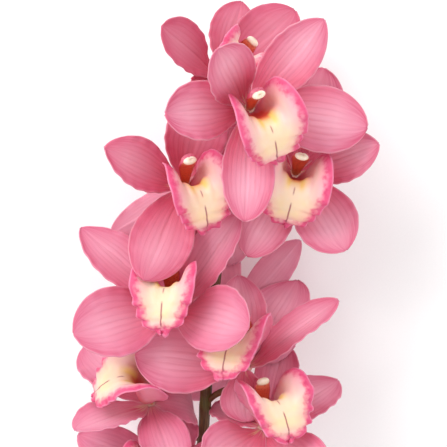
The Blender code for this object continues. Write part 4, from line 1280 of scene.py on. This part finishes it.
# %% Bloom stalk material
stalk_skin, stalk_shader, tree = new_material("tan_bloom_stalk", Roughness=0.48, IOR=1.45)
along = add(tree, "ShaderNodeAttribute", attribute_name="along").outputs["Fac"]
place = add(tree, "ShaderNodeTexCoord").outputs["Object"]
speckle = add(tree, "ShaderNodeTexNoise", {"Vector": place, "Scale": 1 / (1.6 * MM), "Detail": 4.0})
tan = add(
    tree, "ShaderNodeValToRGB", {"Fac": along},
    stops=[(0.0, "#6B3A1E"), (0.3, "#7C5530"), (0.7, "#8B6C3C"), (1.0, "#A8795A")],
)
worn = add(
    tree, "ShaderNodeMapRange",
    {"Value": speckle, "From Min": 0.4, "From Max": 0.7, "To Min": 0.0, "To Max": 0.6},
)
colour = add(tree, "ShaderNodeMix", {"Factor": worn, "A": tan, "B": linear("#5A2A14")}, data_type="RGBA")
bump = add(tree, "ShaderNodeBump", {"Height": speckle, "Distance": 0.3 * MM, "Strength": 0.4})
dressed(stalk_shader, colour, bump)
print("bloom stalk nodes:", len(tree.nodes))

# %% Sheath material
RIBS_ROUND = 6.0
sheath_paper, sheath_shader, tree = new_material("papery_sheath", Roughness=0.72, IOR=1.45)
round_it = add(tree, "ShaderNodeAttribute", attribute_name="round_it").outputs["Fac"]
along = add(tree, "ShaderNodeAttribute", attribute_name="along").outputs["Fac"]
sine = add(tree, "ShaderNodeMath", {0: round_it}, operation="SINE")
cosine = add(tree, "ShaderNodeMath", {0: round_it}, operation="COSINE")
rib_place = add(
    tree, "ShaderNodeCombineXYZ",
    {"X": add(tree, "ShaderNodeMath", {0: sine, 1: RIBS_ROUND}, operation="MULTIPLY"),
     "Y": add(tree, "ShaderNodeMath", {0: cosine, 1: RIBS_ROUND}, operation="MULTIPLY"), "Z": along},
)
ribs = add(
    tree, "ShaderNodeTexNoise", {"Vector": rib_place, "Scale": 1.2, "Detail": 4.0, "Roughness": 0.6}
)
paper = add(
    tree, "ShaderNodeValToRGB", {"Fac": ribs},
    stops=[(0.3, "#7C6238"), (0.5, "#A88C58"), (0.75, "#C9B07E")],
)
tipped = add(
    tree, "ShaderNodeMapRange",
    {"Value": along, "From Min": 0.75, "From Max": 1.0, "To Min": 0.0, "To Max": 0.55},
)
colour = add(tree, "ShaderNodeMix", {"Factor": tipped, "A": paper, "B": linear("#6A4A28")}, data_type="RGBA")
bump = add(tree, "ShaderNodeBump", {"Height": ribs, "Distance": 0.6 * MM, "Strength": 0.7})
dressed(sheath_shader, colour, bump)
print("materials:", [m.name for m in bpy.data.materials])

# %% [markdown]
# ## Sepals and petals
#
# Now the coarse blades give way to fine ones. The same surface is asked for 41 rows of 29 points, the bend it
# settled into is read off on smooth curves, and small things are added that only a fine mesh can hold: the
# groove over the midrib, the low ridges of the veins and a slight waver of the margin. A fine surface passes
# where a coarse one cut the corner, so a blade also eases off its neighbours where their lips, stalks or
# petals would come through it. A few shallow crossings stay.

# %% Fine sepals and petals
PETAL_ACROSS = 28
PETAL_ALONG = 40
PETAL_EDGE = 0.55  # thickness at the margin, and how much more there is along the midrib
PETAL_MORE = 0.85
GROOVE_DEPTH = 0.55  # of the groove over the midrib
GROOVE_WIDTH = 0.07  # as a share of the half width
RIDGE_HEIGHT = 0.04
WAVER = 0.45  # how far the margin wavers, its wave in mm, and what sets two margins or tepals apart
WAVER_WAVE = 9
WAVER_SIDES = 0.37
WAVER_SEED = 0.61
EASE_GAP = 1.9  # between the middles of two thin pieces, in mm
EASE_MOST = 2.5  # a point that has come further through than this is left
EASE_REACH = 5.0  # how far round a touch a blade bends
BESIDE = 2  # points further than this outside a blade's box are passed over
FOOTPRINT = 1.6  # two points this near, seen from above, lie over each other
TONES = {  # 1 for mauve, 0 for clear pink, and below 0 for a deeper red
    "bloom_01": -0.8, "bloom_03": -0.3, "bloom_05": 0.5, "bloom_06": 0.2, "bloom_07": 0.3,
    "bloom_08": 0.75, "bloom_09": 0.9, "bloom_10": 0.45, "bloom_11": 0.6,
}
print("a fine petal has", 2 * (PETAL_ALONG + 1) * (PETAL_ACROSS + 1), "points")

# %% Keep a blade off its neighbours
def fine_lip_middle(bloom):
    """The points of a bloom's lip, fine but without its ruffle."""
    return placed(bloom, lip_surface(bloom.lip_girth, 30, 40)[0]).reshape(-1, 3)


def tube_points(route, radius):
    """Points round a stalk, to keep blades off it."""
    radii = np.full(len(route), radius)
    return tube_solid(route, radii, radii, TO_THE_RIGHT, 12)[0]


def eased_off(surface, crowd):
    """How far each point of a blade moves up or down so that no neighbour's points come through it."""
    flat = surface.reshape(-1, 3)
    moved = np.zeros(len(flat))
    for points in crowd:
        inside = (points > flat.min(0) - BESIDE) & (points < flat.max(0) + BESIDE)
        near = points[inside.all(1)]
        if len(near) == 0:
            continue
        apart = ((near[:, None, :2] - flat[None, :, :2]) ** 2).sum(2)
        closest = apart.argmin(1)
        over = apart[np.arange(len(near)), closest] < FOOTPRINT**2
        height = flat[closest, 2] + moved[closest] - near[:, 2]
        if not over.any():
            continue
        side = 1.0 if np.median(height[over]) > 0 else -1.0
        lack = EASE_GAP - side * height
        pressed = over & (lack > 0) & (lack < EASE_GAP + EASE_MOST)
        if pressed.any():
            bump = lack[pressed, None] * np.exp(-apart[pressed] / (2 * EASE_REACH**2))
            moved += side * bump.max(0)
    return moved.reshape(surface.shape[:2])


LIP_POINTS = {bloom.name: fine_lip_middle(bloom) for bloom in BLOOMS}
STALK_POINTS = {bloom.name: tube_points(pedicel_route(bloom, 30), OVARY_RADIUS) for bloom in BLOOMS}
MAIN_STALK = tube_points(through(STEM_ROUTE, np.linspace(0, 1, 300)), STEM_RADIUS_CUT)
made_blades = {bloom.name: [] for bloom in BLOOMS}
print("points to keep off:", sum(len(p) for p in LIP_POINTS.values()) + len(MAIN_STALK))

# %% One fine blade
def fine_blade(blade, seed):
    """A settled tepal as a fine closed blade, and the numbers that its material reads."""
    tepal = tepals_of(blade.bloom)[blade.kind]
    surface, u, v, reach = tepal_surface(tepal, PETAL_ACROSS, PETAL_ALONG)
    surface = placed(blade.bloom, surface)
    surface[..., 2] += finer(blade.raised.reshape(TEPAL_ALONG + 1, -1), PETAL_ALONG + 1, PETAL_ACROSS + 1)
    others = [name for name in made_blades if name != blade.bloom.name]
    crowd = [MAIN_STALK] + [group[name] for name in others for group in (LIP_POINTS, STALK_POINTS)]
    crowd += [made for name in others for made in made_blades[name]]
    surface[..., 2] += eased_off(surface, crowd)
    made_blades[blade.bloom.name].append(surface.reshape(-1, 3))
    edge = reach[:, None] * (1 - np.abs(u[None, :])) * blade.bloom.size
    outward = -normals_of(surface)
    fade = smooth(v / 0.12) * smooth((1.02 - v) / 0.25)
    groove = -GROOVE_DEPTH * np.exp(-((u[None, :] / GROOVE_WIDTH) ** 2)) * fade[:, None]
    ridges = RIDGE_HEIGHT * np.cos(VEINS * math.pi * u[None, :]) * fade[:, None] * (1 - u[None, :] ** 4)
    along_edge = v[:, None] * tepal.kind["length"] / WAVER_WAVE
    along_edge = along_edge + np.sign(u)[None, :] * WAVER_SIDES + seed * WAVER_SEED
    waver = WAVER * np.sin(2 * np.pi * along_edge) * np.abs(u[None, :]) ** 5 * fade[:, None]
    surface = surface + outward * (groove + ridges + waver)[..., None]
    points, faces = sheet_solid(surface, PETAL_EDGE + PETAL_MORE * near_midrib(u, v))
    half = len(points) // 2
    rows = np.broadcast_to(v[:, None], surface.shape[:2]).ravel()
    columns = np.broadcast_to(u[None, :], surface.shape[:2]).ravel()
    numbers = {
        "across": np.tile(columns, 2),
        "along": np.tile(rows, 2),
        "to_edge": np.tile(edge.ravel(), 2),
        "is_face": np.repeat([0.0, 1.0], half),
        "tone": np.full(2 * half, TONES.get(blade.bloom.name, 0.0)),
        "grain_seed": np.full(2 * half, seed * 3.7),
    }
    return (kept_above_surface(points, half), faces), numbers


print("numbers for the petal material:", ", ".join(PETAL_NUMBERS))

# %% Make the sepals and petals
RECEPTACLE_RADII = [OVARY_RADIUS, 3.6, RECEPTACLE_RADIUS, 3.4, 2.0]
RECEPTACLE_RINGS = 9
RECEPTACLE_SIDES = 20
FAR_FROM_EDGE = 9


def receptacle(bloom):
    """The small disc behind a bloom that its tepals grow from."""
    t = np.linspace(0, 1, RECEPTACLE_RINGS)
    route = np.array([(0, 0, RECEPTACLE_BACK + (RECEPTACLE_FRONT - RECEPTACLE_BACK) * k) for k in t])
    radii = through(RECEPTACLE_RADII, t)[:, 0]
    points, faces = tube_solid(route, radii, radii, TO_THE_RIGHT, RECEPTACLE_SIDES)
    return placed(bloom, points), faces


triangles = 0
for number, bloom in enumerate(BLOOMS):
    disc = receptacle(bloom)
    still = np.zeros(len(disc[0]))
    solids = [disc]
    values = {key: [still] for key in PETAL_NUMBERS}
    values["to_edge"] = [still + FAR_FROM_EDGE]
    for place_number, blade in enumerate(b for b in blades if b.bloom is bloom):
        solid, numbers = fine_blade(blade, number * 5 + place_number)
        solids.append(solid)
        for key in PETAL_NUMBERS:
            values[key].append(numbers[key])
    made = made_piece(
        bloom.name + "_sepals_and_petals", solids, values, petal, "tepals", bloom.name + "_tepals"
    )
    triangles += len(made.data.polygons)
print("sepals and petals:", triangles, "triangles")

# %% [markdown]
# ## Lips
#
# A lip is a fine version of the surface above, with the ruffle that its margin has. The ruffle is strongest
# on the tongue, has a wave of about 6 mm, and dies out a few millimetres in from the edge, as a lettuce
# leaf's does. The front end is rounded off.

# %% Fine lips
LIP_FINE_ACROSS = 44
LIP_FINE_ALONG = 56
LIP_EDGE = 0.55  # thickness at the margin, how much more there is inside it, and how soon
LIP_MORE = 0.45
LIP_MORE_BY = 3
RUFFLE = 1.1  # height of the ruffle, the length of its wave and how far in from the edge it reaches
RUFFLE_WAVE = 6.0
RUFFLE_REACH = 4.5
SECOND_WAVE = 1.73  # a weaker wave on top keeps the ruffle from being even
SECOND_SHARE = 0.45
ROUNDED_FROM = 0.86  # share of the length from which the front end is rounded off
ROUNDED_OVER = 0.145
LIP_LENGTH = length_of(LIP_ROUTE)
KEEL_EXTRA = 0.7  # the keels are taller and narrower here than in the coarse lip
KEEL_EXTRA_REACH = 0.14
KEEL_EXTRA_WIDTH = 0.07


def fine_lip(bloom, seed):
    """The ruffled lip of a bloom as a fine closed sheet, and the numbers that its material reads."""
    surface, u, s, girth = lip_surface(bloom.lip_girth, LIP_FINE_ACROSS, LIP_FINE_ALONG)
    ending = np.sqrt(np.clip(1 - (np.clip(s - ROUNDED_FROM, 0, 1) / ROUNDED_OVER) ** 2, 0.0, 1))
    surface[..., 0] *= ending[:, None]
    width = girth * ending
    side_edge = width[:, None] * (1 - np.abs(u[None, :]))
    edge = np.minimum(side_edge, (1 - s[:, None]) * LIP_LENGTH)
    position = s[:, None] * LIP_LENGTH + side_edge * smooth((s[:, None] - 0.9) / 0.1)
    phase = 2 * np.pi * (position / RUFFLE_WAVE + np.sign(u)[None, :] * 0.17 + seed * 0.3)
    wave = np.sin(phase) + SECOND_SHARE * np.sin(phase * SECOND_WAVE + seed)
    strength = 0.2 + 1.1 * smooth((s[:, None] - 0.4) / 0.3)
    ruffle = RUFFLE * wave * np.exp(-edge / RUFFLE_REACH) * strength * smooth(s[:, None] / 0.15)
    ridge = KEEL_EXTRA * np.exp(-(((s[:, None] - KEEL_AT) / KEEL_EXTRA_REACH) ** 2))
    ridge = ridge * np.exp(-(((np.abs(u[None, :]) - KEEL_ACROSS) / KEEL_EXTRA_WIDTH) ** 2))
    surface = surface - normals_of(surface) * (ruffle + ridge)[..., None]
    thickness = LIP_EDGE + LIP_MORE * smooth(edge / LIP_MORE_BY)
    points, faces = sheet_solid(placed(bloom, surface), thickness)
    half = len(points) // 2
    columns = np.broadcast_to(u[None, :], surface.shape[:2])
    numbers = {
        "along": np.tile(np.broadcast_to(s[:, None], surface.shape[:2]).ravel(), 2),
        "to_edge": np.tile(edge.ravel(), 2),
        "from_middle": np.tile((np.abs(columns) * width[:, None]).ravel(), 2),
        "is_face": np.repeat([0.0, 1.0], half),
    }
    return (points, faces), numbers


for number, bloom in enumerate(BLOOMS):
    solid, numbers = fine_lip(bloom, number)
    values = {key: [array] for key, array in numbers.items()}
    made_piece(bloom.name + "_ruffled_lip", [solid], values, lip_wax, "lip", bloom.name + "_lip")
ruffles = round(2 * LIP_LENGTH / RUFFLE_WAVE)
print("lip outline is about", round(2 * LIP_LENGTH), "mm long, with", ruffles, "ruffles")

# %% [markdown]
# ## Columns and anther caps
#
# The fine column has a hollowed belly, and its back ends in a hood that reaches a little over the cap. The
# cap is a small helmet with a crease down its middle, under which the pollen lies.

# %% Fine columns and caps
COLUMN_SIDES = 28
COLUMN_RINGS = 26
CAP_RINGS = 14
END_TAPER = 0.25  # how strongly the column's end closes
HOLLOW = 0.9  # depth of the hollow in its belly
HOOD = 1.0  # how far its back reaches round the cap
CREASE = 0.35  # depth and half width of the crease in the cap
CREASE_WIDTH = 0.5
DOME_END = 0.003  # keeps the cap's last ring from having no size at all


def fine_column(bloom):
    """The arched column with its hollow belly, and its numbers."""
    t = np.linspace(0, 1, COLUMN_RINGS)
    route = np.array([(0, y, z) for y, z in through(COLUMN_ROUTE, t)])
    closing = np.sqrt(1 - END_TAPER * t**8)
    wide = through(COLUMN_HALF_WIDTHS, t)[:, 0] * closing
    deep = through(COLUMN_HALF_DEPTHS, t)[:, 0] * closing
    points, faces = tube_solid(route, wide, deep, TO_THE_RIGHT, COLUMN_SIDES)
    angle = angles_round(COLUMN_SIDES, COLUMN_RINGS)
    down = -np.sin(angle)
    if points[COLUMN_SIDES // 4, 1] < route[0, 1]:
        down = -down
    belly = smooth((down - 0.1) / 0.5)
    hollow = np.repeat(HOLLOW * smooth((t - 0.3) / 0.4), COLUMN_SIDES) * belly
    over_cap = HOOD * np.repeat(smooth((t - 0.65) / 0.35), COLUMN_SIDES) * smooth((-down - 0.1) / 0.5)
    points[: len(angle), 1] += hollow + over_cap
    points[: len(angle), 2] += over_cap
    ends = np.zeros(2)
    numbers = {
        "belly": [np.concatenate([belly, ends])],
        "along": [np.concatenate([np.repeat(t, COLUMN_SIDES), [0.0, 1.0]])],
    }
    return (placed(bloom, points), faces), numbers


def fine_cap(bloom):
    """The anther cap, a creased helmet, and its numbers."""
    t = np.linspace(0, 1, CAP_RINGS)
    route = cap_route(SEAT_GAP + t * (CAP_LENGTH - SEAT_GAP))
    dome = np.sqrt(np.clip(1 - t**3, DOME_END, 1)) * (0.9 + 0.1 * smooth(t * 3))
    points, faces = tube_solid(
        route, CAP_HALF_WIDTH * dome, CAP_HALF_DEPTH * dome, TO_THE_RIGHT, COLUMN_SIDES
    )
    rings = len(t) * COLUMN_SIDES
    crease = CREASE * np.exp(-((points[:rings, 0] / CREASE_WIDTH) ** 2))
    crease = crease * np.repeat(smooth(t * 2), COLUMN_SIDES)
    points[:rings, 1] -= crease * np.sign(points[:rings, 1] - np.repeat(route[:, 1], COLUMN_SIDES))
    numbers = {"along": [np.concatenate([np.repeat(t, COLUMN_SIDES), [0.0, 1.0]])]}
    return (placed(bloom, points), faces), numbers


for bloom in BLOOMS:
    solid, numbers = fine_column(bloom)
    made_piece(
        bloom.name + "_arched_column", [solid], numbers, column_flesh, "column", bloom.name + "_column"
    )
    solid, numbers = fine_cap(bloom)
    made_piece(bloom.name + "_anther_cap", [solid], numbers, anther_cap, "cap", bloom.name + "_cap")
print("columns and caps:", 2 * len(BLOOMS))

# %% [markdown]
# ## The stem and what grows from it
#
# The flower stalk is a long fine tube that swells a little at each node. Every bloom stalk is a tube whose
# end, the ovary, has six shallow grooves. The sheaths are thin sleeves with a slanting mouth.

# %% Flower stalk
STALK_SIDES = 28
STALK_RINGS = 220
NODE_SWELL = 0.35  # how much thicker the stalk is at a node, and how far from it
NODE_REACH = 4


def turned_numbers(t, sides, length):
    """Numbers of a tube's points: where along it, how many millimetres along, and where round it."""
    return {
        "along": [np.concatenate([np.repeat(t, sides), [0.0, 1.0]])],
        "along_mm": [np.concatenate([np.repeat(t * length, sides), [0.0, length]])],
        "round_it": [np.concatenate([angles_round(sides, len(t)), [0.0, 0.0]])],
    }


t = np.linspace(0, 1, STALK_RINGS)
route = through(STEM_ROUTE, t)
radii = stem_radius(t)
for bloom in BLOOMS:
    radii = radii + NODE_SWELL * np.exp(-(((route[:, 1] - bloom.node) / NODE_REACH) ** 2))
stalk_length = length_of(route)
stalk = tube_solid(route, radii, radii, TO_THE_RIGHT, STALK_SIDES)
made_piece(
    "flower_stalk", [stalk], turned_numbers(t, STALK_SIDES, stalk_length), stem_skin, "stem", "stem"
)
print("flower stalk:", round(stalk_length), "mm")

# %% Bloom stalks
PEDICEL_SIDES = 24
PEDICEL_RINGS = 40
GROOVES = 6
GROOVE_SHARE = 0.07  # share of the radius that a groove takes
solids, values = [], {"along": [], "along_mm": [], "round_it": []}
for bloom in BLOOMS:
    route = pedicel_route(bloom, PEDICEL_RINGS)
    t = np.linspace(0, 1, len(route))
    radii = pedicel_radii(len(route))
    points, faces = tube_solid(route, radii, radii, TO_THE_RIGHT, PEDICEL_SIDES)
    angle = angles_round(PEDICEL_SIDES, len(route))
    centre = np.repeat(route, PEDICEL_SIDES, axis=0)
    on_ovary = np.repeat(smooth(t * 2 - 0.5), PEDICEL_SIDES)
    grooved = 1 - GROOVE_SHARE * (1 - np.cos(GROOVES * angle)) / 2 * on_ovary
    points[: len(angle)] = centre + (points[: len(angle)] - centre) * grooved[:, None]
    solids.append((points, faces))
    length = length_of(route)
    for key, numbers in turned_numbers(t, PEDICEL_SIDES, length).items():
        values[key] += numbers
made_piece("bloom_stalks", solids, values, stalk_skin, "stem", "stem")
print("bloom stalks:", len(solids))

# %% Dry sheaths
SHEATHS = [(-268, 62), (-196, 58), (-122, 52)]  # y of the foot of each dry sheath, and its length
SHEATH_FOOT_WALL = 0.1
SHEATH_WALL = 0.9
SHEATH_FLARE = 0.25  # how much wider its mouth is
SHEATH_TURN_IN = np.array([0.3, 0.4, 0.45, 0.8])  # how far the rings inside its mouth lie within it
SHEATH_SLANT = 1.6  # how far the mouth leans, in y for each millimetre of height
LEAST_STEP = 1e-6  # keeps two rings of a tube from lying in one place
SHEATH_SIDES = 28
SHEATH_RINGS = 26


def stem_at(y):
    """Middle of the stem and its radius at a given y."""
    share = np.linspace(0, 1, 400)
    at = float(np.interp(y, through(STEM_ROUTE, share)[:, 1], share))
    return through(STEM_ROUTE, at)[0], stem_radius(at)


def sheath(foot, length):
    """A thin sleeve round the stem: up its outside, over its slanting mouth and a little down its inside."""
    t = np.linspace(0, 1, SHEATH_RINGS)
    centres = np.array([stem_at(foot + k * length)[0] for k in t])
    stem_radii = np.array([stem_at(foot + k * length)[1] for k in t])
    outer = stem_radii + SHEATH_FOOT_WALL + (SHEATH_WALL - SHEATH_FOOT_WALL) * smooth(t / 0.3)
    outer = outer + SHEATH_FLARE * smooth((t - 0.85) / 0.15)
    centres = np.concatenate([centres, centres[-1:-5:-1]])
    radii = np.concatenate([outer, outer[-1:-5:-1] - SHEATH_TURN_IN])
    shares = np.concatenate([t, t[-1:-5:-1]])
    route = centres + np.arange(len(centres))[:, None] * [0, LEAST_STEP, 0]
    points, faces = tube_solid(route, radii, radii, TO_THE_RIGHT, SHEATH_SIDES)
    middle_z = np.repeat(centres[:, 2], SHEATH_SIDES)
    slant = SHEATH_SLANT * np.repeat(smooth((shares - 0.6) / 0.4), SHEATH_SIDES)
    points[: len(middle_z), 1] += slant * (points[: len(middle_z), 2] - middle_z)
    return (points, faces), turned_numbers(shares, SHEATH_SIDES, length)


solids, values = [], {"along": [], "along_mm": [], "round_it": []}
for foot, length in SHEATHS:
    solid, numbers = sheath(foot, length)
    solids.append(solid)
    for key in values:
        values[key] += numbers[key]
made_piece("dry_sheaths", solids, values, sheath_paper, "stem", "stem")
print("sheaths:", len(solids))

# %% [markdown]
# ## Table, light and camera
#
# The stem lies on a wide white table. A studio shows waxy flowers best in broad soft light, so the sky is a
# plain bright white, one softbox from the upper left gives the petals their shape, and a weaker one from the
# lower right fills their shadows. The camera hangs about 1.25 m above the blooms with a long lens, which
# keeps their proportions true.

# %% White table
TABLE_SIDE = 8  # in metres
floor_mesh = bpy.data.meshes.new("white_table")
half = TABLE_SIDE / 2
corners = [(-half, -half, 0), (half, -half, 0), (half, half, 0), (-half, half, 0)]
floor_mesh.from_pydata(corners, [], [(0, 1, 2, 3)])
floor = bpy.data.objects.new("white_table", floor_mesh)
bpy.context.scene.collection.objects.link(floor)
table_paper, table_shader, tree = new_material("matt_white_paper", Roughness=0.9)
place = add(tree, "ShaderNodeTexCoord").outputs["Object"]
tooth = add(tree, "ShaderNodeTexNoise", {"Vector": place, "Scale": 900.0, "Detail": 2.0})
paper = add(tree, "ShaderNodeValToRGB", {"Fac": tooth}, stops=[(0.0, "#FAFAFA"), (1.0, "#FFFFFF")])
tree.links.new(paper.outputs["Color"], table_shader.inputs["Base Color"])
floor_mesh.materials.append(table_paper)
print("table:", tuple(round(d, 2) for d in floor.dimensions))

# %% Studio light
world = bpy.data.worlds.new("studio")
bpy.context.scene.world = world
world.use_nodes = True
sky = world.node_tree.nodes["Background"].inputs
sky["Color"].default_value = linear("#FFFFFF")
sky["Strength"].default_value = 0.97
SOFTBOXES = [  # name, place in metres, watts and side
    ("softbox_left", (-0.75, 0.85, 1.1), 11.0, 0.8),
    ("softbox_front", (0.9, -0.6, 1.3), 2.0, 1.2),
]
LIT_AT = Vector((0, 0.13, 0.07))  # the middle of the blooms
for name, at, watts, side in SOFTBOXES:
    lamp = bpy.data.lights.new(name, "AREA")
    lamp.energy = watts
    lamp.size = side
    softbox = bpy.data.objects.new(name, lamp)
    softbox.location = at
    aim = LIT_AT - softbox.location
    softbox.rotation_euler = aim.to_track_quat("-Z", "Y").to_euler()
    bpy.context.scene.collection.objects.link(softbox)
bpy.context.scene.view_settings.view_transform = "Standard"
print("lights:", len(bpy.data.lights))

# %% Camera
CAMERA_AT = np.array([0.0, 123.0, 1340.0])  # in the stem's own millimetres, but z from the table
SENSOR = 36
FOCAL_LENGTH = 183.04
lens = bpy.data.cameras.new("camera_above")
lens.sensor_width = SENSOR
lens.lens = FOCAL_LENGTH
camera = bpy.data.objects.new("camera_above", lens)
camera.location = Vector((CAMERA_AT + [TO_FRAME[0], TO_FRAME[1], 0]) * MM)
camera.rotation_euler = (0, 0, 0)
bpy.context.scene.collection.objects.link(camera)
bpy.context.scene.camera = camera
print("camera at", tuple(round(c, 3) for c in camera.location))

# %% [markdown]
# The finished model has to stay within the CAD model's box, give or take a ruffle.
